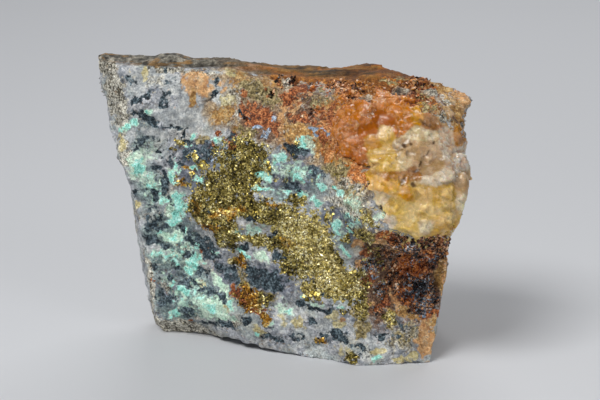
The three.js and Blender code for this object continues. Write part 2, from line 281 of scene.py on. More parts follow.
# %% Patches of pale, yellow and brown rock
PATCHES = {
    "beige": [
        (-38.6, 55.5, 7.5, 2.7, 103, 1), (-41, 63, 2.6, 2.4, 0, 1), (-37.5, 48.3, 2, 1.2, 100, 0.8),
        (-31.3, 12, 7.5, 0.8, 92, 1), (-25, 1.8, 9, 2.4, -3, 1), (-20, 5, 1.6, 1, 0, 0.6),
        (-22.8, 21.4, 2, 0.7, 5, 0.8), (-26.5, 29.4, 1.2, 1.6, 0, 0.8), (-27.4, 12, 1.6, 1.9, 20, 0.7),
        (-36.8, 44, 1.6, 3.4, 0, 0.8), (-10.8, 6.4, 1.2, 1.7, 0, 0.9), (15.5, 41.5, 3.5, 2.2, -30, 0.9),
        (6.5, 48.5, 2, 2.6, 0, 0.8), (27, 6, 3.6, 3, 0, 0.8), (-24, 62.9, 9, 0.7, -2, 0.9),
        (14.6, 37.6, 4, 2, -20, 0.8), (0.6, 61, 0.7, 1.2, 15, 1), (36.4, 57, 2.8, 1.8, 0, 0.8),
        (12, 38.5, 3, 2, -30, 0.6), (-12, 56, 3, 5, 0, 0.6), (-29.5, 60.5, 3, 2, 0, 0.5),
        (-34.5, 29.4, 1, 2, 0, 0.7),
    ],
    "cream": [
        (-31.6, 62.2, 1.7, 0.7, 105, 0.9), (-12, 62.7, 1.6, 1, 0, 0.9), (-13, 56.5, 2.2, 2.4, 0, 0.6),
        (-34, 31.3, 1, 0.9, 0, 0.9), (-13.7, 9.2, 1.5, 0.9, 0, 1), (-6.2, 29.4, 1, 0.8, 30, 0.6),
        (-4.9, 22.6, 1.3, 1, -10, 0.9), (-5.5, 5, 1.4, 1, -20, 0.9), (3.3, 7.9, 1.3, 1.5, 10, 1),
        (11, 10.6, 1.8, 1.4, 0, 0.7), (12.7, 8.6, 2, 1, 0, 0.8), (22, 3.6, 2.2, 1, 10, 0.8),
        (28, 1.4, 3, 1, 4, 1), (-14.2, 14.2, 3.4, 0.6, -52, 0.8), (-7, 59, 1.6, 0.8, -25, 0.8),
        (8.5, 57, 1.8, 1.4, 0, 0.6), (-37.3, 46, 1, 1.4, 0, 1), (-19.5, 14, 1.7, 0.9, 0, 0.7),
        (28.4, 25.2, 1.3, 0.8, -20, 0.9), (14, 3, 2.5, 1.6, 0, 0.6), (-0.5, 8.5, 1.5, 1.5, 0, 0.5),
        (10.6, 57, 1.6, 1.4, 0, 0.6), (0.8, 21.2, 0.4, 0.4, 0, 1), (15, 39, 2, 1.6, 0, 0.7),
        (-11.5, 19.7, 0.9, 0.9, 0, 0.9),
    ],
    "salmon": [
        (-19.8, 60.5, 3.6, 2.5, 0, 1), (16.8, 28.2, 1.3, 1.1, 0, 1), (17.3, 22.8, 1.1, 0.8, 0, 1),
        (25.2, 13.6, 3.6, 0.7, -66, 1), (21.4, 30, 2, 0.6, 0, 1), (29, 10.3, 2.8, 0.6, 0, 1),
        (32.2, 5.6, 2.3, 4.8, -4, 1), (36.4, 18.5, 0.8, 5, -4, 1), (19.3, 13.2, 1, 0.6, 0, 1),
        (13.3, 9.8, 1, 0.7, 0, 0.9), (-17.8, 22.6, 0.7, 0.5, 0, 0.9), (13, 57, 2, 2, 0, 0.5),
        (40.2, 57.4, 2.6, 2.4, 0, 1), (7.5, 61.2, 2.2, 0.45, 0, 1), (11.6, 61.7, 1.8, 0.4, 0, 1),
        (-2, 57.3, 1.6, 0.7, 45, 1), (2.6, 56.6, 2, 0.8, 35, 1), (-0.2, 53.4, 0.9, 3.6, -8, 1),
        (35, 61, 2, 0.7, -20, 0.9), (15.8, 61.5, 1.2, 0.3, 0, 0.8), (24.3, 27, 1, 0.9, 0, 0.9),
        (-14, 60, 1, 1.2, 0, 0.6),
    ],
    "orange": [
        (13, 52.6, 5, 4.6, -30, 1), (10.6, 56.8, 4, 1.6, -10, 0.8), (10, 48.2, 3.2, 2, -45, 1),
        (16, 46, 2.4, 3, 0, 1), (15, 59.2, 3.6, 1, 0, 0.8), (20, 60, 4, 0.8, 0, 0.8),
        (8.6, 52, 2, 2.6, 0, 0.6),
    ],
    "caramel": [
        (26, 60.9, 11, 2.6, -3, 1), (33, 58.6, 3, 0.8, -20, 0.8), (4, 62, 8, 1.2, -4, 1),
        (14, 61.4, 5, 0.7, 0, 0.8), (18, 62.2, 6, 1, 0, 1), (31, 57.8, 2.6, 0.8, -10, 0.7),
        (-3, 60.6, 3, 1, 0, 0.5),
    ],
    "ochre": [
        (-30, 64, 2.3, 0.6, -15, 1), (-35.6, 64.8, 1.2, 0.5, 0, 0.9), (-20.8, 57.4, 2.2, 1.1, 100, 0.9),
        (-13.5, 53.6, 3.6, 1.9, 20, 0.9), (-10, 61, 2.6, 2.4, 0, 0.6), (1.4, 52, 1.6, 2.4, 0, 0.7),
        (7.5, 49.5, 2.4, 3.4, -20, 0.7), (4, 51.4, 3.4, 1.6, -15, 1), (6, 50, 2, 2, 0, 0.6),
        (34, 9, 1, 2.4, -4, 0.7), (26.3, 27, 2.7, 0.9, -5, 1), (27.5, 10.6, 4, 0.8, -12, 1),
        (34.5, 60.8, 3, 0.6, -22, 0.8), (36.8, 59.6, 1.8, 1.2, 0, 0.9), (-5, 61, 5, 1, -6, 0.6),
        (11, 57.6, 3, 1.6, 0, 0.7), (13.5, 48, 2.6, 3, -30, 0.9), (36.5, 34, 2, 3, 0, 0.9),
        (39, 55.5, 1.6, 3, 0, 0.9), (35.6, 19, 1.2, 4, -5, 0.8), (-11, 50.2, 2.4, 1.4, 0, 0.6),
        (2, 48.5, 3, 3.4, 0, 0.6),
    ],
    "rust": [
        (-5, 53.4, 4.2, 2.2, -18, 0.8), (-9.2, 58, 0.9, 1, 0, 0.9), (-9, 55.5, 1.6, 0.9, 0, 0.7),
        (2.8, 58.8, 2.8, 1.2, 10, 0.9), (6, 60, 4, 0.5, 0, 0.8), (1, 57.6, 1.6, 2, 0, 0.8),
        (4.4, 54.4, 3, 1.2, -5, 0.75), (9.3, 55.6, 2.6, 1.4, 0, 0.75), (-1.9, 51.6, 1, 1.1, 0, 1),
        (9, 51, 1.8, 1.6, 20, 0.9), (-14.7, 48.8, 0.9, 0.6, 0, 1), (-11.3, 49, 1, 0.8, 0, 1),
        (-12, 47.4, 0.9, 0.7, 0, 0.8), (-16.7, 46.3, 0.8, 0.7, 0, 1), (-14, 45.8, 0.8, 0.4, 0, 0.9),
        (29.4, 21.4, 3.8, 3.2, 0, 0.95), (22.6, 13, 2, 1.1, 0, 0.9), (22.7, 32.3, 2.6, 1.5, -30, 0.9),
        (33, 10.6, 1.6, 0.8, 30, 1), (32.6, 27.2, 1.3, 1, 0, 0.9), (18.4, 25.8, 1.6, 1.4, 0, 0.9),
        (28, 14, 3, 2.4, 0, 0.6), (-11.1, 13.6, 1.1, 1.4, 0, 1), (-6, 10.2, 1.4, 0.8, 0, 1),
        (-19.4, 21, 0.5, 0.5, 0, 1), (-24.7, 21.6, 0.8, 0.4, 0, 1), (-30.3, 13.5, 0.6, 0.6, 0, 1),
        (12, 54.6, 3, 4, 0, 0.62), (-22.3, 3.8, 0.8, 0.6, 0, 0.9), (12.4, 51.6, 1.2, 2, 0, 0.6),
        (19, 18.6, 1.8, 1.2, 0, 0.9), (-8.4, 12.4, 2, 2, 0, 0.45), (12.6, 49.4, 2.2, 2.6, 0, 0.6),
        (35.2, 10.5, 1, 1.2, 0, 0.9), (25.5, 59.6, 5.5, 0.6, -3, 0.9), (33, 59.3, 1.6, 0.6, 0, 0.7),
    ],
    "khaki": [
        (-5.4, 58.7, 5, 2.4, -22, 1), (-8.3, 50.6, 2.2, 1, -10, 0.8), (12, 44.6, 2.8, 1.8, 0, 0.9),
        (-18.8, 47.5, 1.3, 1, 0, 0.7), (18.4, 37, 2, 1.8, -10, 0.8), (17.8, 32.4, 2.6, 1.6, 0, 0.9),
        (17.2, 11, 2.2, 3, 0, 0.8), (18.2, 8, 2.2, 1.2, 45, 1), (27.4, 6.6, 4, 3, 0, 0.55),
        (15, 40.5, 4, 2.4, -30, 0.5), (-9.3, 16.5, 1.6, 2.6, 0, 0.7), (24, 9.4, 2, 2, 0, 0.6),
        (7, 57.4, 2, 2.2, 0, 0.6), (25.5, 61.6, 3.6, 0.5, 0, 0.7), (9.5, 58.6, 1.6, 1.2, 0, 0.7),
        (32, 58.4, 1.4, 1.2, -20, 0.8), (22, 38.7, 1.2, 0.8, 20, 0.8), (-3.6, 13, 2.4, 2, 0, 0.7),
    ],
}
print({name: len(found) for name, found in PATCHES.items()})

# %% [markdown]
# Under the small patches lie broad ones, which tint whole quarters of the face: teal mostly at the
# left, where copper has soaked in, umber along the top and around the rusty hollow, white mostly at
# the upper left, and tan and grey between. Their colours are laid first, so that the others cover
# them.

# %% Broad tints under the patches
PATCHES |= {
    "tan": [
        (-3, 55, 12, 6.6, 0, 1), (8, 51.5, 8, 8, -30, 1), (-14, 56, 5.4, 6, 0, 0.8),
        (15, 43, 5, 4, -30, 0.9), (14, 36, 3, 3, 0, 0.5), (-6, 61.6, 11, 1.3, -4, 1),
        (20, 56, 14, 6, 0, 1), (19, 29, 4, 5, 0, 0.6),
    ],
    "teal": [
        (-26, 22, 7, 9, 0, 0.8), (-22, 10, 9, 7, 0, 0.9), (-31, 36, 4, 6, 0, 0.7),
        (-33, 47, 4, 5, 0, 0.6), (2, 41, 9, 5, 0, 0.7), (-10, 13, 4, 4, 0, 0.5), (14, 31, 4, 5, 0, 0.6),
        (-15, 45, 4, 3, 0, 0.6),
    ],
    "grey": [
        (0.5, 42.5, 8, 3.6, 0, 1), (13, 33, 4.6, 4.6, 0, 0.9), (-19, 44, 5, 3.4, 0, 1),
        (-27, 12, 4, 5, 0, 0.6), (-21, 38.5, 4, 3, 0, 0.8), (-12, 17, 5, 5, 0, 0.6),
        (-3, 17, 6, 4, 0, 0.8), (3, 47, 4, 3, 0, 0.7), (26, 6, 4, 3.8, 0, 0.5),
    ],
    "umber": [
        (-4, 52.5, 7, 3.6, -12, 0.9), (5, 56, 6, 4, 0, 0.8), (10, 50, 4, 4, 0, 0.55),
        (24, 60, 14, 2, 0, 0.7), (22, 20, 5, 12, 0, 1), (30, 21, 8, 12, 0, 1), (20, 27, 3, 4, 0, 0.8),
        (22, 11, 4, 2.4, 0, 0.6),
    ],
    "white": [
        (-30, 61, 4, 2, 10, 1), (-34, 58.6, 3, 1.6, -20, 0.9), (-26, 59.5, 3, 2.5, 0, 0.8),
        (-26, 52.8, 5, 1.9, -6, 1), (-21.5, 56.4, 3, 3, 0, 0.8), (-20.5, 51.8, 2, 2.4, 0, 1),
        (-15, 58.4, 2, 3, 0, 0.8), (-29.5, 48.6, 4, 1.4, -5, 0.8), (-35.5, 47, 1.5, 2.5, 0, 0.9),
        (-32, 43, 2, 1, 0, 0.8), (-33, 38.4, 2.4, 2.4, 0, 0.6), (-29, 20.4, 4.4, 0.8, -10, 0.9),
        (-26, 29.4, 1.6, 2.4, 0, 0.5), (-18, 4.8, 5, 0.8, 0, 0.8), (10, 8, 3, 2.4, 0, 0.8),
        (19.6, 5.4, 5, 1.1, -35, 1), (23.2, 3.4, 1, 3, 0, 0.9), (3, 11, 2, 1.5, 0, 0.8),
        (-5, 22, 2.8, 1.5, -10, 0.6), (5.2, 5.6, 1.6, 1.2, 0, 0.7), (-9, 59.4, 2, 1.4, 0, 0.6),
    ],
}
print("kinds of patch so far:", len(PATCHES))

# %% [markdown]
# Last come the minerals proper: slate-dark grains in rows, mint and aqua copper crusts, a few blue
# spots, the ore itself with its tarnish, and the goethite of the rusty hollow. "copper" and
# "bright" only show on top of the gold: "copper" is where the ore is tarnished, and "bright" is
# painted highlight, where plates of ore that face the lamp and a few glints are painted lighter.

# %% Patches of dark, blue-green and brassy minerals
PATCHES |= {
    "slate": [
        # The first is painted shade, not slate: the dark slot at x -8.8, z 54.
        (-8.8, 54, 1.5, 0.5, -42, 1), (-33.4, 56, 1.1, 0.8, 20, 1), (-31.4, 57.3, 1.7, 0.6, 25, 1),
        (-27.4, 57.4, 1.2, 1, 90, 0.7), (-27.4, 55.3, 1.3, 1, 0, 1), (-26.9, 63, 0.4, 0.5, 0, 1),
        (-32.8, 53, 1.4, 0.9, -30, 0.7), (-30.6, 51.3, 1.7, 1.2, -40, 0.9),
        (-34.5, 52.9, 0.9, 0.6, 0, 0.7), (-33.2, 45.2, 2.2, 1.8, 30, 0.8), (-32, 46.9, 1.4, 0.9, 0, 0.8),
        (-29.4, 46.8, 1.8, 0.6, 0, 0.8), (-28.4, 44.4, 1, 1, 0, 0.9), (-28.9, 40.5, 1.3, 0.7, 0, 0.9),
        (-26.3, 42.6, 1.5, 1.8, 0, 0.55), (-23.5, 49.2, 1.3, 0.35, 85, 1), (-22.3, 47.3, 0.9, 0.5, 0, 1),
        (-25.3, 50.4, 3.2, 0.3, -8, 0.9), (-27.8, 37, 3.2, 1.4, 95, 0.85), (-34.5, 34.3, 0.9, 0.5, 0, 1),
        (-16.7, 57.9, 2.9, 0.6, 50, 0.6), (-15.2, 61, 1.3, 0.5, 90, 0.6), (-18.6, 45, 4, 2.2, -10, 0.66),
        (-22.6, 44, 3, 1.6, 10, 0.6), (-35.3, 60, 2.2, 1.2, -10, 0.5), (2.3, 39.4, 2.2, 1, -10, 1),
        (0.2, 36.4, 1, 0.35, 90, 0.9), (-12, 44.5, 2.6, 1, 0, 0.5), (3.2, 47.4, 3, 1.6, 0, 0.95),
        (7.5, 43.2, 3, 1.6, 0, 0.6), (-30, 33, 1, 1.3, 0, 0.9), (-29, 34.8, 2, 0.7, 0, 0.8),
        (-26.2, 32.3, 0.9, 1.3, 0, 1), (-30, 27, 2.6, 3.8, 0, 0.68), (-31, 22.6, 2, 1.2, 10, 0.8),
        (-28.2, 21.8, 2.4, 0.8, -15, 0.7), (-23.4, 25.7, 1, 1.1, 0, 1), (-24.4, 24.2, 0.6, 0.5, 0, 0.9),
        (-22, 23.4, 1.2, 0.9, 0, 0.9), (-18.4, 23, 4, 2.2, -33, 0.72), (-16.6, 20.4, 3, 1.4, -20, 0.7),
        (-15, 18.6, 2.6, 1.2, -32, 0.72), (-12.3, 16.8, 2, 1.8, -60, 0.7), (-22.4, 20, 1.4, 0.7, 0, 0.9),
        (-25.2, 16.8, 1, 0.8, 0, 0.8), (-30.5, 17, 1.2, 0.7, -40, 0.8), (-19.3, 16.4, 1.8, 1.1, 0, 0.9),
        (-27.5, 9.8, 3.2, 2.6, 0, 0.56), (-22.5, 6.4, 2, 1.4, 0, 0.7), (-18, 12.6, 3.4, 1.3, 0, 0.62),
        (-14.2, 11.3, 1.8, 1.2, 0, 0.85), (-13.8, 5.4, 2.6, 1, 0, 0.85), (-17.4, 4.2, 2, 0.6, 0, 0.7),
        (-17.3, 31.8, 1.1, 0.6, -50, 0.9), (-7.2, 32, 1.5, 0.9, 30, 0.9), (-9, 24.4, 1, 0.9, 0, 0.8),
        (-1.2, 23, 1.4, 1, 0, 0.7), (-4.4, 17.6, 5, 2.6, -10, 0.86), (-1.2, 15.6, 1.8, 1.5, 0, 0.8),
        (4, 12.8, 1.6, 1.2, 0, 0.7), (7.8, 11.8, 3.2, 0.9, -4, 1), (6.5, 8.6, 1.8, 1.2, 0, 0.6),
        (-8.6, 7.6, 1.4, 1.4, 0, 0.9), (9.2, 15.6, 1.1, 0.4, 0, 1), (13.2, 34.8, 3, 1.4, 0, 0.5),
        (13, 6, 2.6, 1.5, -30, 0.75), (1.2, 22, 1.2, 1, 0, 0.62), (22, 6.8, 1.4, 0.5, 0, 0.9),
        (31, 15.4, 3, 2.2, 0, 0.5), (27, 7, 4, 2.6, 0, 0.4), (-2.5, 4, 2.6, 1.2, 0, 0.7),
        (3, 4.4, 2.4, 1, 0, 0.6), (-12, 48.6, 2, 1, 0, 0.5), (-32.3, 36, 1.6, 1.4, 0, 0.45),
        (32.2, 32.8, 2.8, 1.1, 38, 1), (18, 3.4, 3, 1.6, 0, 0.5), (-25, 60.5, 2, 1.6, 0, 0.4),
        (-2.3, 28.3, 0.8, 0.7, 0, 0.8), (-24, 14, 6, 1.2, -10, 0.5), (9, 5.6, 1.6, 1, 0, 0.8),
    ],
    "mint": [
        (-16.6, 8.2, 3.8, 2.8, -10, 1), (-26, 23.8, 3, 1.5, 0, 1), (-14.4, 14.2, 3.6, 0.9, -52, 1),
        (-25, 31, 1.9, 4.6, -8, 0.8), (7.3, 13.2, 1.8, 0.8, 0, 0.8), (-33.8, 41, 2.2, 3.6, 0, 1),
        (-12, 7.4, 1.6, 1, 0, 0.7), (15.5, 39, 2.4, 2, 0, 0.6), (-5, 22.6, 2, 1.4, -10, 0.8),
        (-26, 19.3, 3, 1, 0, 0.8), (-31, 37.5, 3, 2.4, 0, 0.6), (0, 11, 2, 2, 0, 0.5),
        (-6.4, 29.4, 2.1, 1.3, 10, 0.7), (5.6, 48.2, 1.4, 2.4, 0, 0.6), (21.6, 37, 1.4, 1.2, 0, 0.8),
        (12.6, 31, 2, 3, 0, 0.5), (-31, 44, 3, 2, 0, 0.4),
    ],
    "aqua": [
        (-36.6, 49.3, 1.7, 0.8, 30, 0.9), (-34, 50.5, 1.3, 1, 0, 0.7), (-33.4, 40.6, 2.6, 1.4, 85, 1),
        (-33.4, 42.7, 1.3, 0.6, 0, 0.9), (-31.2, 37.6, 2.4, 2.6, 0, 0.6), (-31.2, 53.6, 1, 1.3, 0, 0.7),
        (-25, 41.3, 2, 0.4, 90, 0.9), (-25.6, 38.6, 2, 1, 100, 0.8), (-24.2, 40.5, 0.7, 0.5, 0, 0.9),
        (-19.5, 38.8, 1.3, 0.6, 0, 0.8), (-20.4, 41.4, 1.1, 0.5, -20, 0.9),
        (-20.8, 48.3, 0.8, 0.5, 90, 0.9), (-22, 46.3, 0.8, 0.7, 0, 0.7), (-15.4, 47.6, 1.8, 0.6, 0, 0.7),
        (2, 43, 7, 2.5, -8, 0.5), (-4, 41.2, 2, 1.5, 0, 0.75), (-4.4, 38.4, 2.3, 0.7, 0, 0.95),
        (0.6, 38.3, 1.5, 0.6, 0, 0.8), (4.3, 38.4, 1.7, 0.7, -30, 0.9), (7.7, 42, 1, 0.6, 60, 0.9),
        (8.6, 40.3, 1.4, 0.5, 0, 1), (3.2, 41.7, 1, 0.8, 0, 0.9), (4.1, 48.6, 1.1, 1.5, 0, 0.85),
        (-1.2, 45.8, 1.7, 0.8, 0, 0.7), (7.8, 36.6, 1.3, 1.1, 0, 0.9), (12.2, 32, 1.9, 1.3, 80, 0.85),
        (15.2, 31, 1, 0.5, 90, 0.9), (13.8, 26.2, 2, 0.9, -45, 0.85), (12.4, 40.5, 0.6, 1.6, 0, 0.8),
        (-24.4, 33, 2.2, 1.3, 80, 0.95), (-23.2, 31.2, 1.7, 1, 80, 0.95), (-24.7, 28.8, 2.3, 1, 75, 1),
        (-26.2, 26.8, 1.9, 1, 20, 0.9), (-27.8, 32.8, 1.2, 1.3, 0, 0.65), (-28.6, 24.4, 0.9, 0.8, 0, 0.8),
        (-25.6, 23.9, 1.6, 0.6, -25, 0.75), (-22.4, 25.8, 0.8, 0.8, 0, 0.9), (-28, 19.3, 3, 0.7, -8, 0.8),
        (-26, 19.2, 1.5, 0.5, 0, 1), (-20.3, 22.2, 1.1, 0.6, 90, 0.9), (-21, 18.4, 2.1, 1.3, 70, 1),
        (-22.6, 16, 1.3, 1.2, 0, 0.9), (-25.4, 17.7, 0.7, 0.4, 0, 1), (-19.4, 19.3, 1.2, 0.6, 0, 0.9),
        (-8.8, 22.7, 1.9, 0.5, -55, 1), (-16, 21, 1.2, 0.7, 0, 0.7), (-10.2, 28.8, 1, 0.8, 0, 0.7),
        (-6.4, 29.4, 2.1, 1.3, 10, 0.62), (-26, 12.8, 0.9, 0.8, 0, 0.8), (-23.2, 11.8, 1.8, 1, 80, 0.95),
        (-25.4, 5.9, 1.4, 0.9, 10, 1), (-17, 8.6, 2.4, 1.4, -10, 0.75), (-12.2, 10.5, 1.3, 0.7, 110, 0.8),
        (-15.4, 11.4, 1, 0.7, 0, 0.6), (-20, 14.2, 1.4, 0.8, 0, 0.6), (1.5, 10.4, 1.6, 1, 0, 0.8),
        (-2.6, 7.4, 1.3, 1, 0, 0.6), (4.4, 14.7, 1, 0.4, 0, 0.9), (13, 12.8, 1.6, 0.5, 0, 0.7),
        (21.4, 1.9, 1.4, 0.7, 0, 0.9), (-27, 14, 2, 2, 0, 0.5), (-24, 21, 6, 5, 0, 0.42),
        (-22, 10, 5, 4, 0, 0.45), (-30, 34, 3, 4, 0, 0.42), (15.5, 34.5, 2, 2, 0, 0.5),
        (-5.8, 4.6, 0.8, 0.5, 0, 0.8),
    ],
    "blue": [
        (-16.2, 43.2, 0.7, 0.5, 45, 1), (-14.9, 44.7, 0.8, 0.5, 90, 0.9), (-26, 45.5, 0.5, 0.4, 0, 0.8),
        (-6.2, 51.4, 0.9, 0.5, -15, 1), (6.8, 52.6, 0.9, 0.5, 20, 1), (9.2, 52.5, 1.6, 0.35, -18, 0.9),
        (-2, 53.5, 0.5, 0.7, 0, 0.9), (-4, 50.4, 0.9, 0.7, 0, 0.6), (-13.4, 46.8, 0.6, 0.4, 0, 0.8),
        (7.2, 51.2, 0.35, 0.9, -20, 0.9), (-1, 44.4, 1, 0.4, 0, 0.6), (8.6, 34.6, 0.5, 0.8, 0, 0.6),
        (18.2, 21.2, 0.8, 0.8, 0, 0.8), (20.4, 19, 0.9, 0.4, -30, 0.9), (33.8, 24.5, 0.5, 1, 0, 0.9),
        (32, 10.7, 0.6, 0.6, 0, 0.9), (27.3, 29.6, 0.5, 0.5, 0, 0.8), (19.5, 23.7, 0.9, 0.35, 0, 0.8),
        (31.4, 15, 2.6, 2.4, 0, 0.4), (22.6, 17.4, 0.6, 0.6, 0, 0.8),
    ],
    "gold": [
        (-9.2, 43, 5, 6.8, 8, 1), (-13.5, 38.6, 6.4, 3.4, 10, 1), (-16.5, 31.4, 6.4, 4.4, -10, 1),
        (-10, 34.4, 8, 2.6, 0, 1), (-4.5, 33.6, 8, 2.8, -6, 1), (-13, 27.6, 4.6, 2.8, -20, 0.95),
        (-8.6, 26.8, 1.4, 1.4, 0, 1), (-3.4, 26.4, 6, 2, -8, 0.95), (4.2, 28.6, 7.2, 6, -10, 1),
        (3.4, 22, 5.4, 4, -20, 0.95), (12, 19.3, 7, 4.4, -15, 1), (9, 24.5, 5, 2.4, -20, 0.95),
        (6.6, 16.3, 3, 1.6, -25, 1), (16.6, 16.3, 3, 3, 0, 0.8), (-23.6, 46.8, 0.9, 0.9, 0, 1),
        (-20.2, 43.9, 1.2, 1, 30, 1), (-18.6, 42.3, 1.7, 0.7, -5, 1), (-22.2, 41.6, 1.4, 0.7, -35, 0.9),
        (-21, 39.8, 1.6, 0.5, 115, 0.9), (-24.2, 37.6, 1.3, 1.1, 0, 0.8), (-22, 37, 1.5, 0.7, 0, 0.8),
        (-19, 35.6, 2, 0.9, 0, 1), (-3.7, 43.6, 1.3, 1, 80, 1), (-2, 42.4, 0.9, 0.8, 0, 0.8),
        (2.9, 49, 0.9, 0.7, 0, 0.9), (2.6, 46, 0.7, 0.6, 0, 0.8), (3, 36.6, 2.6, 1.2, 0, 0.8),
        (10.2, 34.4, 1.2, 0.7, 90, 1), (14, 29.3, 0.9, 0.7, 80, 1), (18.6, 35.8, 2.6, 1.8, 0, 0.62),
        (18, 31.6, 2.4, 2.4, 0, 0.6), (-8, 12.4, 3, 3, 0, 0.9), (-4.4, 12.6, 2.2, 2.2, 0, 0.8),
        (-4.2, 8.2, 1.5, 1.6, 0, 0.95), (-9.3, 20.6, 1.4, 2.2, 0, 0.85), (-10.8, 19.6, 1, 1.2, 0, 0.8),
        (-6, 16, 4, 2, 0, 0.45), (13.7, 11.7, 1, 0.6, 0, 1), (17.4, 12.4, 2, 2.6, 0, 0.68),
        (15.6, 1.6, 1.3, 1.6, 0, 0.85), (24, 9.5, 1.7, 2, 0, 0.75), (8.6, 4.4, 1.2, 0.9, 0, 0.8),
        (-6.5, 14.6, 3, 1.6, 0, 0.5), (12.6, 44.2, 2, 1.2, 0, 0.5), (22.6, 17.6, 0.6, 0.5, 0, 0.8),
        (-25.3, 45.1, 0.4, 0.4, 0, 1), (-13, 24.4, 3, 1.4, -20, 0.8), (-14.6, 44.6, 3, 2.6, 0, 0.7),
        (-5, 46.6, 2.4, 2, 0, 0.75), (1, 43, 7, 3.6, 0, 0.46), (12, 33, 4, 5, 0, 0.42),
        (20.5, 24, 3, 5, 0, 0.45),
    ],
    "copper": [
        (-8, 12.4, 3, 2.8, 0, 0.95), (-4.2, 8.4, 1.6, 1.8, 0, 0.8), (-12.6, 32.1, 5, 0.9, 22, 0.8),
        (-17.4, 27.6, 3.4, 1.1, 10, 0.85), (-9.4, 20.6, 1.6, 2.2, 0, 0.7),
        (-21.8, 41.2, 1.8, 1.2, -30, 0.6), (-24, 37.4, 1.5, 1.3, 0, 0.6), (-2, 35.6, 3, 1.2, 0, 0.5),
        (-20, 32, 1.5, 3, 0, 0.45), (1, 26.6, 2.6, 1.6, 0, 0.45), (8.6, 4.4, 1.4, 1, 0, 0.6),
    ],
    # Not a mineral: painted highlight, where the ore is painted lighter on plates that face the lamp and
    # at a few glints.
    "bright": [
        (-20.2, 43.9, 1, 0.8, 30, 1), (-18.6, 42.3, 1.5, 0.6, -5, 1), (-23.6, 46.8, 0.7, 0.7, 0, 0.9),
        (-3.7, 43.6, 1.2, 0.8, 80, 1), (7.4, 15, 1, 1, 0, 1), (-18.8, 35.5, 1.8, 0.7, 0, 0.9),
        (10.2, 34.4, 1.1, 0.6, 90, 1), (14, 29.3, 0.9, 0.6, 80, 1), (4.4, 30, 6, 4.4, -10, 0.9),
        (11.4, 19.4, 6, 3.6, -15, 1), (6.4, 16.2, 2.4, 1.2, -25, 0.8), (-12.4, 32.2, 4.4, 0.9, 22, 0.8),
        (8, 24, 5, 3, 0, 0.7), (-8.6, 26.8, 1.3, 1.3, 0, 0.8), (-15.6, 37.6, 2, 0.6, 25, 0.7),
        (24, 9.6, 1, 1.3, 0, 0.6),
    ],
    # A few of these are painted shade, not goethite: the slot at x -9, z 53.8, the pit at x 2.1, z 25.2,
    # and the shadow under the top's overhang at x 14 and 15.4, z 60.
    "goethite": [
        (30.4, 25, 5, 7.5, 0, 1), (34, 27, 3, 8, 0, 1), (24.6, 30.6, 5, 1.8, -12, 0.9),
        (30.6, 14.6, 4.2, 4.4, 0, 1), (27, 19, 3.4, 4, 0, 0.9), (20, 21.8, 2.4, 2, 0, 1),
        (22.6, 15.6, 2, 1.6, 0, 0.6), (34.8, 31, 2, 3.6, 0, 1), (22.6, 25, 2.6, 1.6, 0, 0.6),
        (22, 11.6, 2.6, 1, 0, 0.6), (2.2, 61, 1.2, 0.8, -30, 1), (-3, 58.2, 0.7, 1, 0, 0.9),
        (-1, 61.3, 0.9, 0.35, 95, 0.9), (14, 60.5, 4.4, 0.6, -2, 1), (15.4, 59.6, 2, 0.4, 0, 0.9),
        (-9, 53.8, 1.2, 0.5, -42, 1), (-21.4, 31.4, 0.5, 1, 0, 0.9), (2.1, 25.2, 0.8, 0.7, 0, 1),
        (6.6, 56.6, 1.4, 1.6, 0, 0.6), (18.7, 43.6, 0.8, 0.7, 0, 0.8), (12.5, 43.4, 0.9, 0.6, 0, 0.8),
        (31, 60.6, 2.6, 0.8, -10, 1), (6, 60.5, 0.6, 0.4, 0, 0.9),
    ],
}
print({name: len(found) for name, found in PATCHES.items()})

# %% [markdown]
# ## From patches to shares
#
# Every point gets a share of each mineral: 1 in the middle of a patch, a half at its ellipse, and
# nearly nothing just outside. Perfect ellipses would look like stickers, so the points are first
# pushed about by three sizes of noise, which bends each outline the way mineral borders wander.

# %% Mineral shares at any points
# The size and the reach of each wander, in mm.
WANDER = ((2.6, 0.9), (1.3, 0.9), (0.6, 0.5))
# Noise vectors start from the clock unless they are given a seed.
WANDER_SEED = 4
noise.seed_set(WANDER_SEED)


def wandered(points):
    """The points pushed about by noise."""
    moves = [
        sum((noise.noise_vector(Vector(point) / size) * reach for size, reach in WANDER), Vector())
        for point in points
    ]
    return points + np.array(moves)


def turned(points, x, z, turn):
    """How far points lie along and across a line that goes through x and z at this turn."""
    cosine, sine = np.cos(np.radians(turn)), np.sin(np.radians(turn))
    right, up = points[:, 0] - x, points[:, 2] - z
    return cosine * right + sine * up, cosine * up - sine * right


def shares_at(points, table, sway=1):
    """The share of each kind in a table of patches at each point, from 0 to 1, by x and z alone."""
    bent = points + sway * (wandered(points) - points)
    shares = {}
    for name, patches in table.items():
        shares[name] = np.zeros(len(points))
        for x, z, long, wide, turn, strength in patches:
            along, across = turned(bent, x, z, turn)
            share = strength / (1 + ((along / long) ** 2 + (across / wide) ** 2) ** 3)
            shares[name] = np.maximum(shares[name], share)
    return shares


skin = points_of(net)
face_share, top_share = sides(skin)
shares = shares_at(skin, PATCHES)
# They fade out towards the broken sides, and mint covers most of the slate under it.
for name in shares:
    shares[name] *= smooth(0.05, 0.4, face_share + top_share)
shares["slate"] *= 1 - 0.7 * shares["mint"]
print("points on the face:", int(face_share.sum()), "of them brassy:", int(shares["gold"].sum()))

# %% [markdown]
# ## Relief
#
# Broken rock is made of small flat breaks set at angles, not of soft bumps. Random cells give that:
# inside a cell the surface is one tilted plane, and at its border it steps. Each mineral breaks at
# its own size: the brassy ore is hackly, the pale rock sugary, and the back and sides break in
# larger planes. A displacement texture would do much the same, but numbers worked out here can
# also steer the colours and the grains.

# %% Tilted cells
# Cells' middles are spread by this before their tilts are read, so that neighbours differ.
CELL_STIR = 9.7
# How much a cell also steps above or below its neighbours.
CELL_STEP = 0.35


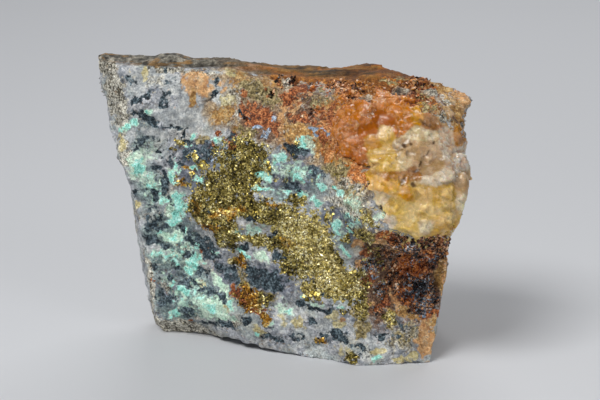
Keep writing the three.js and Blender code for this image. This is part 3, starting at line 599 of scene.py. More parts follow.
def facets(points, size, depth):
    """Heights in mm of a surface broken into tilted cells of about this size."""
    heights = np.zeros(len(points))
    for index, point in enumerate(points):
        near = noise.voronoi(Vector(point) / size)[1][0]
        tilt = noise.cell_vector(near * CELL_STIR)
        heights[index] = (Vector(point) / size - near).dot(tilt) + CELL_STEP * tilt.x
    return heights * depth


def bumps(points, size, depth):
    """Heights in mm of soft bumps of about this size."""
    return np.array([noise.noise(Vector(point) / size) for point in points]) * depth


print("a few facets, in mm:", facets([(0, 0, step) for step in range(4)], 1.5, 0.5).round(2))

# %% The quartz's zone
# The rock sinks where the quartz will lie, so the quartz's zone is laid out first.
QUARTZ_ZONE = {
    "quartz": [
        (24, 52.2, 12.6, 7.2, -6, 1), (30.5, 46, 12.2, 9.6, -14, 1), (31.5, 39.6, 9.6, 7.4, 0, 1),
    ]
}
quartz_share = shares_at(skin, QUARTZ_ZONE)["quartz"] * face_share
print("points under the quartz:", int(quartz_share.sum()))

# %% Heights of the rock's skin
# The rock lies this far lower under the quartz, in mm.
UNDER_QUARTZ = 1.6


def heights_at(points, shares, face, top):
    """How far each point of the rock stands out, in mm."""
    brassy, rusty = shares["gold"], shares["goethite"] * face
    pale = face * np.clip(1 - brassy - rusty, 0, 1)
    hackly = facets(points, 1.5, 0.5) + facets(points, 0.75, 0.2)
    sugary = facets(points, 1.0, 0.16) + bumps(points, 2.4, 0.5)
    vuggy = bumps(points, 1.6, 1.3) + facets(points, 0.9, 0.35)
    broken = facets(points, 7, 0.9) + facets(points, 3.4, 0.4) + facets(points, 1.3, 0.15)
    layered = bumps(points * (0.12, 0.5, 1), 1.5, 0.9) + facets(points * (0.2, 0.7, 1), 1.5, 0.22)
    layered += bumps(points, 0.8, 0.25)
    heights = brassy * (hackly + 0.25) + rusty * vuggy + pale * sugary
    heights += (1 - face - top) * broken + top * layered
    heights += -0.3 * shares["slate"] + 0.2 * shares["aqua"]
    return heights


heights = heights_at(skin, shares, face_share, top_share) - UNDER_QUARTZ * quartz_share
normals = points_of(net, "vertices", "normal")
# The net without its relief is kept, because the quartz grows from it.
undressed = net.copy()
rock_points = skin + normals * heights[:, None]
rock_points[:, 2] = np.maximum(rock_points[:, 2], 0)
net.vertices.foreach_set("co", (rock_points * MM).astype(np.float32).ravel())
net.update()
print("relief from", round(heights.min(), 2), "to", round(heights.max(), 2), "mm")

# %% [markdown]
# ## What the finish will read
#
# The shares are kept on the mesh as attributes, one number a point, so that the colours follow the
# very map that shaped the relief. How far each point stands out of its neighbours is kept as well,
# for painted light: edges are painted lighter as a painted highlight, and creases darker as
# painted shade. A pointiness node would give that too, but only one of the renderers knows it.

# %% Shares kept on the rock
def keep(mesh, name, values):
    """Keeps one number for each point of a mesh, for its material to read."""
    mesh.attributes.new(name, "FLOAT", "POINT").data.foreach_set("value", values.astype(np.float32))


def edges_of(mesh, points, spread=2):
    """How far each point stands out of its neighbours, about -1 in a crease to 1 on an edge."""
    pairs = np.zeros(len(mesh.edges) * 2, np.int32)
    mesh.edges.foreach_get("vertices", pairs)
    first, second = pairs.reshape(-1, 2).T
    counts = np.bincount(first, minlength=len(points)) + np.bincount(second, minlength=len(points))
    out = points
    for _ in range(spread):
        sums = np.zeros_like(points)
        np.add.at(sums, first, out[second])
        np.add.at(sums, second, out[first])
        out = sums / counts[:, None]
    stand = ((points - out) * points_of(mesh, "vertices", "normal")).sum(axis=1)
    return np.clip(stand / (2 * stand.std()), -1, 1)


for name in shares:
    keep(net, name, shares[name])
keep(net, "face", face_share)
keep(net, "top", top_share)
keep(net, "edge", edges_of(net, rock_points))

corners = [tuple(face.vertices) for face in net.polygons]
brassy_faces = np.array([shares["gold"][list(face)].mean() for face in corners])
net.polygons.foreach_set("use_smooth", brassy_faces < 0.5)
rock = add_object("rock", net)
print("the rock keeps", len(net.attributes), "attributes")

# %% [markdown]
# ## Making materials
#
# Each finish is a small graph of nodes that ends in a Principled shader. Placing every node by hand
# would hide the recipe in bookkeeping, so one helper adds a node and joins it to what it reads, and
# short ones stand for the nodes used most: noise of a size in millimetres, arithmetic, and mixing.

# %% Helpers for node graphs
def paint(red, green, blue):
    """An everyday colour, 0 to 255, as the linear colour that a shader takes."""
    shares = (np.array((red, green, blue)) / 255 + 0.055) / 1.055
    return (*(shares**2.4), 1)


def new_finish(name):
    """A new material, with its node tree and its shader."""
    finish = bpy.data.materials.new(name)
    finish.use_nodes = True
    return finish, finish.node_tree, finish.node_tree.nodes["Principled BSDF"]


def node(tree, kind, inputs=None, **settings):
    """Adds a node. Its inputs are given as numbers or as other nodes' outputs."""
    made = tree.nodes.new(kind)
    for key, value in settings.items():
        setattr(made, key, value)
    for key, value in (inputs or {}).items():
        if isinstance(value, bpy.types.NodeSocket):
            tree.links.new(value, made.inputs[key])
        else:
            made.inputs[key].default_value = value
    return made


def calc(tree, operation, first, *others):
    """Arithmetic on numbers, from left to right."""
    for other in others or (0.0,):
        first = node(tree, "ShaderNodeMath", {0: first, 1: other}, operation=operation).outputs[0]
    return first


def grain(tree, size, detail=2, stretch=(1, 1, 1)):
    """Noise with lumps of about this size in mm: its number, then three unlike ones."""
    place = node(tree, "ShaderNodeTexCoord").outputs["Object"]
    if stretch != (1, 1, 1):
        place = node(tree, "ShaderNodeMapping", {"Vector": place, "Scale": stretch}).outputs[0]
    made = node(
        tree, "ShaderNodeTexNoise", {"Vector": place, "Scale": 1 / (size * MM), "Detail": detail}
    )
    parts = node(tree, "ShaderNodeSeparateColor", {"Color": made.outputs["Color"]})
    return made.outputs["Fac"], *parts.outputs


def crystals(tree, size):
    """Three random numbers that stay the same over each grain of about this size in mm."""
    place = node(tree, "ShaderNodeTexCoord").outputs["Object"]
    bend = node(tree, "ShaderNodeTexNoise", {"Vector": place, "Scale": 1.5 / (size * MM)})
    bend = {0: bend.outputs["Color"], "Scale": 0.7 * size * MM}
    bend = node(tree, "ShaderNodeVectorMath", bend, operation="SCALE")
    place = node(tree, "ShaderNodeVectorMath", {0: place, 1: bend.outputs[0]}).outputs[0]
    cells = node(tree, "ShaderNodeTexVoronoi", {"Vector": place, "Scale": 1 / (size * MM)})
    return node(tree, "ShaderNodeSeparateColor", {"Color": cells.outputs["Color"]}).outputs[:]


def between(tree, share, first, second):
    """Mixes two numbers, from the first at 0 to the second at 1."""
    return node(tree, "ShaderNodeMix", {0: share, 2: first, 3: second}).outputs[0]


def kept(tree, name):
    """A number kept on the mesh."""
    return node(tree, "ShaderNodeAttribute", attribute_name=name).outputs["Fac"]


def ramp(tree, value, low, high, start=0.0, end=1.0):
    """Goes smoothly from start to end as the value goes from low to high."""
    inputs = {"Value": value, "From Min": low, "From Max": high, "To Min": start, "To Max": end}
    return node(tree, "ShaderNodeMapRange", inputs, interpolation_type="SMOOTHSTEP").outputs[0]


def blend(tree, share, first, second):
    """Mixes two colours, from the first at 0 to the second at 1."""
    inputs = {0: share, 6: first, 7: second}
    return node(tree, "ShaderNodeMix", inputs, data_type="RGBA").outputs[2]


def tones(tree, value, *colours, low=0.3, high=0.7):
    """Colours spread evenly over a number from low to high, as on a ramp."""
    made = node(tree, "ShaderNodeValToRGB", {0: value})
    stops = made.color_ramp.elements
    while len(stops) < len(colours):
        stops.new(0.5)
    for stop, place, colour in zip(stops, np.linspace(low, high, len(colours)), colours):
        stop.position = place
        stop.color = colour
    return made.outputs[0]


print("helpers ready")

# %% [markdown]
# ## The rock's finish
#
# One material covers the whole stone, because its minerals run into each other. Each mineral has
# a dark and a light shade, mixed by fine noise, and is laid over the ones before it where its share
# passes a half. Noise is added to the share first, so that the border frays into specks. Metal is
# switched on by the same mask as the brassy colour.

# %% Shades of each mineral
# Each mineral's fray, softness of border, and shades from dark to light.
MINERAL_LOOKS = {
    "teal": (0.8, 0.35, (74, 96, 98), (116, 138, 136), (166, 184, 180)),
    "tan": (0.8, 0.35, (108, 84, 60), (164, 138, 106), (210, 190, 156)),
    "grey": (1.2, 0.3, (62, 68, 80), (112, 118, 130), (162, 166, 178)),
    "umber": (1.4, 0.3, (62, 40, 28), (116, 84, 62), (168, 136, 110)),
    "white": (0.8, 0.3, (146, 152, 156), (184, 188, 188), (220, 220, 214)),
    "goethite": (1.8, 0.1, (20, 12, 9), (92, 60, 40), (200, 140, 96)),
    "beige": (1.4, 0.2, (70, 65, 54), (180, 175, 159), (224, 220, 206)),
    "salmon": (1.2, 0.2, (170, 118, 74), (216, 166, 112), (240, 206, 160)),
    "cream": (1.4, 0.2, (168, 154, 104), (208, 194, 142), (236, 228, 190)),
    "orange": (1.4, 0.2, (140, 76, 28), (198, 122, 60), (234, 178, 120)),
    "caramel": (1.2, 0.2, (66, 34, 8), (138, 80, 24), (192, 128, 54)),
    "ochre": (1.4, 0.2, (132, 90, 44), (188, 142, 80), (228, 194, 134)),
    "khaki": (1.6, 0.2, (66, 58, 36), (144, 128, 84), (200, 184, 138)),
    "gold": (1.8, 0.06, (32, 28, 12), (100, 88, 40), (186, 168, 96)),
    # "bright" is painted highlight on the ore, not a mineral of its own.
    "bright": (1.4, 0.2, (104, 92, 46), (168, 150, 88), (224, 206, 144)),
    "copper": (1.6, 0.15, (92, 56, 10), (180, 124, 30), (234, 184, 76)),
    "rust": (1.8, 0.15, (80, 38, 18), (150, 80, 40), (202, 134, 84)),
    "mint": (1.4, 0.25, (162, 204, 180), (212, 240, 216), (232, 248, 226)),
    "aqua": (1.6, 0.15, (84, 172, 156), (166, 240, 224), (214, 250, 240)),
    "slate": (1.9, 0.14, (12, 20, 28), (46, 62, 70), (124, 142, 150)),
    "blue": (1.4, 0.15, (90, 110, 134), (146, 166, 188), (196, 210, 222)),
}
# Half the spread of noise that their shades cover: the usual one, and where it is another.
USUAL_SPREAD = 0.14
SPREADS = {"beige": 0.08, "goethite": 0.1, "rust": 0.11, "copper": 0.1, "slate": 0.12}
# The share at which a mineral's border lies, where it isn't a half.
BORDERS = {"aqua": 0.64, "gold": 0.6}
# These change shade in larger patches than the others.
CALM = ("white", "cream", "mint", "teal", "grey", "salmon")
MASKED_BY_GOLD = ("bright", "copper")
OVER_METAL = ("rust", "mint", "slate", "blue")
print(len(MINERAL_LOOKS), "minerals, each in three shades")

# %% Noises of the rock finish
rock_finish, tree, shader = new_finish("altered_rock")
broad, *broad_parts = grain(tree, 6, 4)
mixed, *mixed_parts = grain(tree, 1.6, 5)
spare, *spare_parts = grain(tree, 1.1, 5)
fine, *fine_parts = grain(tree, 0.4, 3)
coarse_cells = crystals(tree, 0.9)
small_cells = crystals(tree, 0.5)
frays = [
    between(tree, 0.2, part, cell)
    for part, cell in zip((*mixed_parts, *spare_parts), (*coarse_cells, *small_cells))
]
fines = [
    between(tree, 0.2, between(tree, 0.4, *noises), cell)
    for *noises, cell in zip(
        (fine, *fine_parts), (spare, *mixed_parts), (small_cells[1], coarse_cells[1], *small_cells)
    )
]
print("noises for borders:", len(frays), "and for shades:", len(fines))

# %% Minerals over the pale rock
def cover(tree, share, noise_value, fray, softness, edge):
    """Where a mineral shows: its share with frayed borders, as a mask. Its border is at the edge."""
    frayed = calc(tree, "ADD", calc(tree, "MULTIPLY", noise_value, fray), share)
    border = edge + 0.5 * fray
    return ramp(tree, frayed, border - softness, border + softness)


def rgb(*shades):
    """Everyday colours as a shader's."""
    return [paint(*shade) for shade in shades]


PALE = rgb((98, 104, 112), (152, 157, 163), (190, 192, 196), (216, 216, 214))
pale_tone = between(tree, 0.15, between(tree, 0.5, broad, mixed), coarse_cells[0])
pale = tones(tree, pale_tone, *PALE, low=0.36, high=0.6)
pale = blend(tree, ramp(tree, broad_parts[0], 0.5, 0.62, 0, 0.4), pale, paint(158, 176, 168))
pale = blend(tree, ramp(tree, broad_parts[1], 0.5, 0.66, 0, 0.4), pale, paint(208, 202, 186))
colour = pale
masks = {}
for index, (name, (fray, softness, *shades)) in enumerate(MINERAL_LOOKS.items()):
    share = kept(tree, name)
    if name == "mint":
        share = calc(tree, "MAXIMUM", share, kept(tree, "aqua"))
    border = BORDERS.get(name, 0.5)
    masks[name] = cover(tree, share, frays[index % len(frays)], fray, softness, border)
    if name in MASKED_BY_GOLD:
        masks[name] = calc(tree, "MULTIPLY", masks[name], masks["gold"])
    calm = 0.6 if name in CALM else 0.3
    tone = between(tree, calm, fines[index % len(fines)], mixed_parts[index % len(mixed_parts)])
    spread = SPREADS.get(name, USUAL_SPREAD)
    shade = tones(tree, tone, *rgb(*shades), low=0.5 - spread, high=0.5 + spread)
    colour = blend(tree, masks[name], colour, shade)
metal = calc(tree, "MULTIPLY", masks["gold"], ramp(tree, fine_parts[2], 0.45, 0.55, 0.4, 0.85))
for name in OVER_METAL:
    metal = calc(tree, "MULTIPLY", metal, calc(tree, "SUBTRACT", 1.0, masks[name]))
print("masks laid:", len(masks))

# %% [markdown]
# ## Stray specks
#
# No mineral in the rock is pure: single specks of others are scattered through it. Random cells
# give them, where their number passes a high limit, each in a colour of its own. They thin out
# where the white, slate, mint and rusty patches are, which are purer.

# %% Stray specks of other minerals
STRAY = rgb((96, 70, 54), (150, 120, 82), (122, 132, 146), (206, 206, 202), (226, 212, 176))
kind, rarity, _ = crystals(tree, 0.45)
gathered = ramp(tree, spare_parts[1], 0.4, 0.6, 0.15, 0.7)
stray = calc(tree, "MULTIPLY", ramp(tree, rarity, 0.82, 0.86), gathered)
plainer = calc(tree, "ADD", masks["slate"], masks["mint"], masks["white"])
plainer = calc(tree, "MAXIMUM", plainer, masks["caramel"], masks["orange"], masks["rust"])
stray = calc(tree, "MULTIPLY", stray, ramp(tree, plainer, 0, 1, 0.8, 0))
colour = blend(tree, stray, colour, tones(tree, kind, *STRAY, low=0.05, high=0.95))
print("stray specks in", len(STRAY), "colours")

# %% [markdown]
# ## Broken sides and back
#
# The sides and the back are one plain rock: mottled grey-brown, with dark cracks, a few white
# veins, slaty patches and a brown stain towards the right. A thin line is drawn where a noise
# passes through its middle value, which gives curves that wander as cracks do. A wave texture
# would lay them side by side instead.

# %% Broken sides
place = node(tree, "ShaderNodeTexCoord").outputs["Object"]
across = node(tree, "ShaderNodeSeparateXYZ", {0: place}).outputs["X"]
BROKEN = rgb((40, 35, 29), (126, 119, 104), (172, 165, 147), (206, 200, 182))
patchy_tone = between(tree, 0.45, between(tree, 0.3, mixed, fine), broad)
broken = tones(tree, patchy_tone, *BROKEN, low=0.4, high=0.6)
# Dark dots on the sides: painted shade of small pits.
broken = blend(tree, ramp(tree, fine_parts[1], 0.56, 0.62, 0, 0.9), broken, paint(44, 38, 32))
vein = calc(tree, "ABSOLUTE", calc(tree, "SUBTRACT", grain(tree, 2.8, 4)[1], 0.5))
cracks = ramp(tree, vein, 0.005, 0.02, 0.75, 0)
broken = blend(tree, cracks, broken, paint(58, 52, 44))
slaty = ramp(tree, spare_parts[0], 0.54, 0.6, 0, 0.75)
slaty = calc(tree, "MULTIPLY", slaty, ramp(tree, broad_parts[0], 0.44, 0.56))
broken = blend(tree, slaty, broken, paint(56, 64, 68))
white_vein = calc(tree, "ABSOLUTE", calc(tree, "SUBTRACT", grain(tree, 9, 4)[2], 0.5))
broken = blend(tree, ramp(tree, white_vein, 0.003, 0.012, 0.7, 0), broken, paint(212, 208, 196))
stain = calc(tree, "MULTIPLY", ramp(tree, across, 0, 36 * MM), ramp(tree, broad_parts[2], 0.4, 0.6))
STAINED = rgb((84, 56, 36), (158, 118, 80), (204, 170, 126))
broken = blend(tree, stain, broken, tones(tree, patchy_tone, *STAINED, low=0.4, high=0.6))
print("the sides have", len(BROKEN), "shades, and", len(STAINED), "where they are stained")

# %% [markdown]
# ## The layered top
#
# The top break shows the rock's layers edge on, as streaks that run from left to right. They are
# the same noise, stretched along x. Grey at the left turns to brown and then to rust at the right,
# each blended over the one before it.

# %% The layered top
streak, *streak_parts = grain(tree, 1.0, 4, (0.18, 0.7, 1))
layer, *layer_parts = grain(tree, 3, 5, (0.25, 1, 1))
GREY_TOP = rgb((50, 46, 40), (98, 94, 84), (152, 146, 132))
BROWN_TOP = rgb((44, 30, 8), (94, 66, 24), (134, 94, 36), (178, 132, 64))
grey_top = tones(tree, mixed, *GREY_TOP, low=0.35, high=0.65)
brown_top = tones(tree, layer, *BROWN_TOP, low=0.35, high=0.65)
brown_top = blend(tree, ramp(tree, layer_parts[0], 0.5, 0.58, 0, 0.8), brown_top, paint(152, 90, 26))
brown_top = blend(tree, ramp(tree, mixed_parts[1], 0.52, 0.62, 0, 0.12), brown_top, paint(116, 108, 90))
top_colour = blend(tree, ramp(tree, across, -26 * MM, 4 * MM), grey_top, brown_top)
rusty_end = ramp(tree, across, 8 * MM, 26 * MM)
rusty_end = calc(tree, "MULTIPLY", rusty_end, ramp(tree, layer_parts[1], 0.4, 0.54))
RUSTY_TOP = rgb((60, 30, 4), (126, 70, 12), (182, 116, 36))
top_colour = blend(tree, rusty_end, top_colour, tones(tree, streak, *RUSTY_TOP, low=0.35, high=0.65))
top_colour = blend(tree, ramp(tree, streak, 0.53, 0.62, 0, 0.6), top_colour, paint(34, 24, 18))
top_colour = blend(tree, ramp(tree, streak_parts[0], 0.56, 0.62, 0, 0.4), top_colour, paint(178, 132, 66))
print("the top runs from grey through brown to rust")

# %% [markdown]
# ## Face, sides and top in one finish
#
# The shares of face and top blend the three colours at their borders. Edges then get a painted
# highlight and creases painted shade, coarse minerals get more contrast than fine ones, and small
# pits are dotted in as dark dots of painted shade. Last, a bump adds what is finer than the net.

# %% Face, sides and top in one finish
# These are coarse or rotten, so they get more contrast than the others.
UNEVEN = ("gold", "rust", "goethite", "slate", "umber", "beige")
on_face = ramp(tree, calc(tree, "ADD", kept(tree, "face"), kept(tree, "top")), 0.1, 0.7)
colour = blend(tree, on_face, broken, colour)
colour = blend(tree, kept(tree, "top"), colour, top_colour)
uneven = calc(tree, "MAXIMUM", *(masks[name] for name in UNEVEN))
sharp = ramp(tree, fine_parts[0], 0.38, 0.62, 0.68, 1.32)
contrast = between(tree, ramp(tree, uneven, 0, 1, 0.45, 1), 1.0, sharp)
# Pits: dark dots painted as the shade in small pits, fewer on the white.
pits = calc(
    tree, "MULTIPLY", ramp(tree, grain(tree, 0.32, 1)[0], 0.62, 0.7),
    ramp(tree, mixed_parts[2], 0.42, 0.6), ramp(tree, masks["white"], 0, 1, 0.7, 0.1),
)
# Lightness: painted highlight on edges and painted shade in creases and pits, with contrast and broad
# patches of tone.
lightness_and_painted_light = calc(
    tree, "MULTIPLY", ramp(tree, kept(tree, "edge"), -1, 1, 0.55, 1.25), contrast,
    ramp(tree, broad_parts[2], 0.34, 0.66, 0.85, 1.15), calc(tree, "SUBTRACT", 1.0, pits),
)
colour = node(tree, "ShaderNodeHueSaturation", {"Value": lightness_and_painted_light, "Color": colour}).outputs[0]
tree.links.new(colour, shader.inputs["Base Color"])
tree.links.new(metal, shader.inputs["Metallic"])
tree.links.new(ramp(tree, metal, 0, 1, 0.7, 0.34), shader.inputs["Roughness"])
shader.inputs["Specular IOR Level"].default_value = 0.35
relief = calc(tree, "ADD", calc(tree, "MULTIPLY", mixed, 0.4), calc(tree, "MULTIPLY", fine, 0.15))
bump = node(tree, "ShaderNodeBump", {"Height": relief, "Strength": 0.8, "Distance": 1 * MM})
tree.links.new(bump.outputs[0], shader.inputs["Normal"])
net.materials.append(rock_finish)
print("the rock's graph has", len(tree.nodes), "nodes")

# %% [markdown]
# ## Grains
#
# What makes ore glitter is thousands of loose angular grains, each facing its own way. Bump alone
# would be lost when the model is exported, and a copied object for each grain would be too much to
# carry. So a few chunks are made as hulls of random points, and a mesh of thousands of them is put
# together from arrays: turned, scaled, half sunk and strewn over the rock where their mineral is.

# %% A few chunks
def chunk(dice, corners, squash):
    """Corner places and triangles of one angular chunk, which reaches one unit from its middle."""
    shape = bmesh.new()
    for _ in range(corners):
        place = Vector(dice.normal(size=3)).normalized()
        bmesh.ops.create_vert(shape, co=(place.x, place.y, place.z * squash))
    hull = bmesh.ops.convex_hull(shape, input=shape.verts)
    bmesh.ops.delete(shape, geom=hull["geom_interior"], context="VERTS")
    bmesh.ops.recalc_face_normals(shape, faces=shape.faces)
    shape.verts.index_update()
    places = np.array([vertex.co for vertex in shape.verts])
    triangles = np.array([[vertex.index for vertex in face.verts] for face in shape.faces])
    shape.free()
    return places, triangles


def turns_along(dice, axes):
    """Rotations, as 3 by 3 matrices, that bring z onto each axis and spin at random about it."""
    along = axes / np.linalg.norm(axes, axis=1)[:, None]
    aside = np.cross(along, dice.normal(size=axes.shape))
    aside /= np.linalg.norm(aside, axis=1)[:, None]
    return np.stack((aside, np.cross(along, aside), along), axis=2)


# %% Strewing grains over a ground
def ground_of(mesh, points, shares):
    """What grains need of the surface that they lie on: corners, normals, areas and shares."""
    mesh.calc_loop_triangles()
    trios = np.array([triangle.vertices for triangle in mesh.loop_triangles])
    a, b, c = (points[trios[:, side]] for side in range(3))
    cross = np.cross(b - a, c - a)
    double_area = np.maximum(np.linalg.norm(cross, axis=1), 1e-9)
    return {
        "trios": trios, "points": points, "shares": shares,
        "normals": cross / double_area[:, None], "areas": double_area / 2,
    }


def joined_chunks(name, kinds, kind, turns, size, middles):
    """One mesh of many chunks: each is a kind, turned, scaled and moved. Also who owns each point."""
    all_places, all_triangles, owners, start = [], [], [], 0
    for index, (places, triangles) in enumerate(kinds):
        chosen = np.flatnonzero(kind == index)
        spun = np.einsum("nij,pj->npi", turns[chosen], places) * size[chosen, None, None]
        all_places.append((spun + middles[chosen, None]).reshape(-1, 3))
        steps = start + np.arange(len(chosen)) * len(places)
        all_triangles.append((triangles[None] + steps[:, None, None]).reshape(-1, 3))
        owners.append(np.repeat(chosen, len(places)))
        start += len(chosen) * len(places)
    places, triangles, owners = map(np.concatenate, (all_places, all_triangles, owners))
    places[:, 2] = np.maximum(places[:, 2], 0)
    mesh = bpy.data.meshes.new(name)
    mesh.vertices.add(len(places))
    mesh.vertices.foreach_set("co", (places * MM).astype(np.float32).ravel())
    mesh.loops.add(triangles.size)
    mesh.loops.foreach_set("vertex_index", triangles.astype(np.int32).ravel())
    mesh.polygons.add(len(triangles))
    mesh.polygons.foreach_set("loop_start", np.arange(0, triangles.size, 3, dtype=np.int32))
    mesh.polygons.foreach_set("use_smooth", np.zeros(len(triangles), bool))
    mesh.update(calc_edges=True)
    return mesh, owners


def strewn(name, ground, density, count, sizes, seed, sink=0.2, squash=0.85, tilt=1, corners=8):
    """Many chunks strewn over a ground by a density given at its points. Sizes are in mm.

    A tilt of 0 lays each chunk flat on the ground, and 1 turns it at random.
    """
    dice = np.random.default_rng(seed)
    weight = ground["areas"] * density[ground["trios"]].mean(axis=1)
    picked = dice.choice(len(weight), size=count, p=weight / weight.sum())
    cuts = np.sort(dice.random((count, 2)), axis=1)
    corner_shares = np.column_stack((cuts[:, 0], cuts[:, 1] - cuts[:, 0], 1 - cuts[:, 1]))
    corners_here = ground["points"][ground["trios"][picked]]
    size = sizes[0] * (sizes[1] / sizes[0]) ** (dice.random(count) ** 1.6) / 2
    out = ground["normals"][picked]
    middles = (corners_here * corner_shares[:, :, None]).sum(axis=1) - out * (size * sink)[:, None]
    kinds = [chunk(dice, corners, squash) for _ in range(6)]
    kind = dice.integers(len(kinds), size=count)
    turns = turns_along(dice, out * (1 - tilt) + dice.normal(size=out.shape) * tilt)
    mesh, owners = joined_chunks(name, kinds, kind, turns, size, middles)
    keep(mesh, "tone", dice.random(count)[owners])
    for stain, values in ground["shares"].items():
        keep(mesh, stain, values[ground["trios"][picked]].mean(axis=1)[owners])
    print(name, "has", count, "grains and", len(mesh.polygons), "triangles")
    return add_object(name, mesh)


def patchy(share, points, size, seed, low=0.3, high=0.6):
    """A density that follows a share, broken up by noise of this size in mm."""
    lift = np.array([noise.noise(Vector(point) / size + Vector((seed, 0, 0))) for point in points])
    return smooth(low, high, share + 0.4 * lift)


# %% The grains of each mineral
# Where pale grains go that stand for the goethite's glints: partly painted highlight.
SPARKS = {
    "sparks": [
        (31.4, 15, 3.6, 3, 0, 1), (34, 24.4, 1.2, 2, 0, 1), (19.4, 22, 1.8, 2, 0, 1),
        (22.6, 17, 1.4, 1.6, 0, 0.8), (32, 10.8, 1.4, 1.2, 0, 1), (28, 28.8, 2, 1, 0, 1),
        (30, 20, 6, 9, 0, 0.12),
    ],
}
# Grains read this in place of how far they stand out, which sets their painted edge highlight.
GRAIN_EDGE = 0.4
every_share = shares | {"face": face_share, "top": top_share}
every_share["edge"] = np.full(len(skin), GRAIN_EDGE)
rock_ground = ground_of(net, rock_points, every_share)
bare = face_share * (1 - smooth(0.4, 0.6, quartz_share))
later = np.maximum.reduce([shares[name] for name in ("beige", "salmon", "cream", "ochre", "gold")])
clean_gold = shares["gold"] - 0.5 * np.maximum(shares["slate"], shares["aqua"])
brassy = patchy(clean_gold, rock_points, 1.5, 3)
rusty = patchy(shares["goethite"] - 0.8 * later, rock_points, 1.2, 5)
crusty = patchy(shares["aqua"], rock_points, 1.2, 7, 0.5, 0.8)
rusted = np.maximum.reduce([shares[name] for name in ("ochre", "orange", "rust")])
sparks = rusty * shares_at(skin, SPARKS)["sparks"]
plain = 1 - brassy - rusty - shares["slate"] - 0.6 * rusted - 0.6 * shares["white"]
plain = np.clip(plain, 0.05, 1)
dark = patchy(shares["slate"], rock_points, 1.2, 11, 0.35, 0.6)
# Each kind's density, count, sizes, seed, sink, squash, tilt and slot.
GRAIN_KINDS = {
    "chalcopyrite_grains": (brassy, 14000, (0.22, 0.95), 21, 0.2, 0.6, 0.4, "chalcopyrite"),
    "chalcopyrite_plates": (brassy, 600, (0.6, 1.3), 28, 0.2, 0.3, 0.5, "chalcopyrite"),
    "goethite_grains": (rusty, 3600, (0.35, 1.3), 22, 0.1, 0.85, 1, "goethite"),
    "goethite_sparks": (sparks, 1300, (0.3, 0.8), 30, -0.4, 0.6, 1, "goethite"),
    "blue_green_crust": (crusty, 1200, (0.3, 0.8), 23, 0.5, 0.85, 1, "linarite"),
    "rock_grains": (plain, 5000, (0.4, 1.6), 24, 0.6, 0.6, 0.3, "altered_rock"),
    "dark_grains": (dark, 1200, (0.3, 0.8), 25, 0.5, 0.7, 0.6, "altered_rock"),
}
grains = {}
for name, (density, count, sizes, seed, sink, squash, tilt, _) in GRAIN_KINDS.items():
    grains[name] = strewn(name, rock_ground, density * bare, count, sizes, seed, sink, squash, tilt)

# %% [markdown]
# Here and there a cluster of small flat flakes of fresh ore mirrors the lamp to the eye: they face
# half-way between the two, give or take a few degrees. Each cluster has a place of its own on the
# face. More light on the whole ore would brighten it evenly instead, and lose the sparkle.

# %% Bright flakes
# Each cluster's x and z and how wide it is, in mm.
CLUSTERS = [
    (-20.2, 43.9, 1.8), (-18.6, 42.3, 2), (-17.4, 42, 1.4), (-23.6, 46.8, 1.4), (-21, 39.6, 1.3),
    (-3.7, 43.6, 1.7), (6.9, 14.9, 2), (5.5, 14.2, 1.3), (-18.8, 35.5, 1.7), (-17, 35.8, 1.4),
    (10.2, 34.4, 1.4), (13.8, 29.3, 1.4), (-8.6, 27, 1.5), (0.8, 21.2, 0.8), (8, 20, 1.3),
    (12, 19.5, 1.3), (15.8, 20.6, 1.5), (3, 33.5, 1), (5.2, 34.6, 1), (24, 9.6, 1.1), (19.2, 30.5, 0.9),
    (17.5, 37.5, 0.9), (13, 12, 0.9), (2.9, 49, 0.9), (-12.6, 32.4, 1.4), (-10.4, 33.2, 1.2),
    (-16, 28, 1.1), (9.8, 22, 1.2), (14.4, 18, 1.3), (-6.2, 33.4, 1),
]
FLAKES_IN_CLUSTER = 6
FLAKE_KINDS = 4
FLAKE_CORNERS = 9
# How far they scatter across and up, against their cluster's width, and how far they tilt.
FLAKE_SCATTER = (0.45, 0.25)
FLAKE_TILT = 0.12
# Their half width against their cluster's, and how far they stand off the rock, in mm.
FLAKE_WIDTHS = (0.14, 0.34)
FLAKE_STAND = 0.3

flake_dice = np.random.default_rng(29)
half_way = ((bpy.data.objects["key"].location - middle).normalized() + backwards).normalized()
face_points = np.flatnonzero(face_share > 0.5)
flakes = np.repeat(np.array(CLUSTERS), FLAKES_IN_CLUSTER, axis=0)
scatter = flake_dice.normal(size=(len(flakes), 2)) * flakes[:, 2:] * FLAKE_SCATTER
spots = np.array([
    face_points[np.argmin(np.hypot(skin[face_points, 0] - x, skin[face_points, 2] - z))]
    for x, z in flakes[:, :2] + scatter
])
tilts = flake_dice.normal(size=(len(flakes), 3)) * FLAKE_TILT
flake_turns = turns_along(flake_dice, np.array(half_way) + tilts)
flake_widths = flakes[:, 2] * flake_dice.uniform(*FLAKE_WIDTHS, len(flakes))
flake_chunks = [chunk(flake_dice, FLAKE_CORNERS, 0.2) for _ in range(FLAKE_KINDS)]
flake_kinds = flake_dice.integers(FLAKE_KINDS, size=len(flakes))
flake_middles = rock_points[spots] + np.array(half_way) * FLAKE_STAND
mesh, owners = joined_chunks(
    "bright_flakes", flake_chunks, flake_kinds, flake_turns, flake_widths, flake_middles
)
for name, value in {"tone": 0.5, "copper": 0.3, "bright": 0}.items():
    keep(mesh, name, np.full(len(owners), value))
grains["bright_flakes"] = add_object("bright_flakes", mesh)
print("bright flakes:", len(flakes))

# %% [markdown]
# ## Finishes of the grains
#
# Each grain keeps one random number, its tone, and its finish runs from dark to light along it, as
# real grains differ in how fresh and how clean they are. The brassy ones also read how much copper
# tarnish there is where they lie.

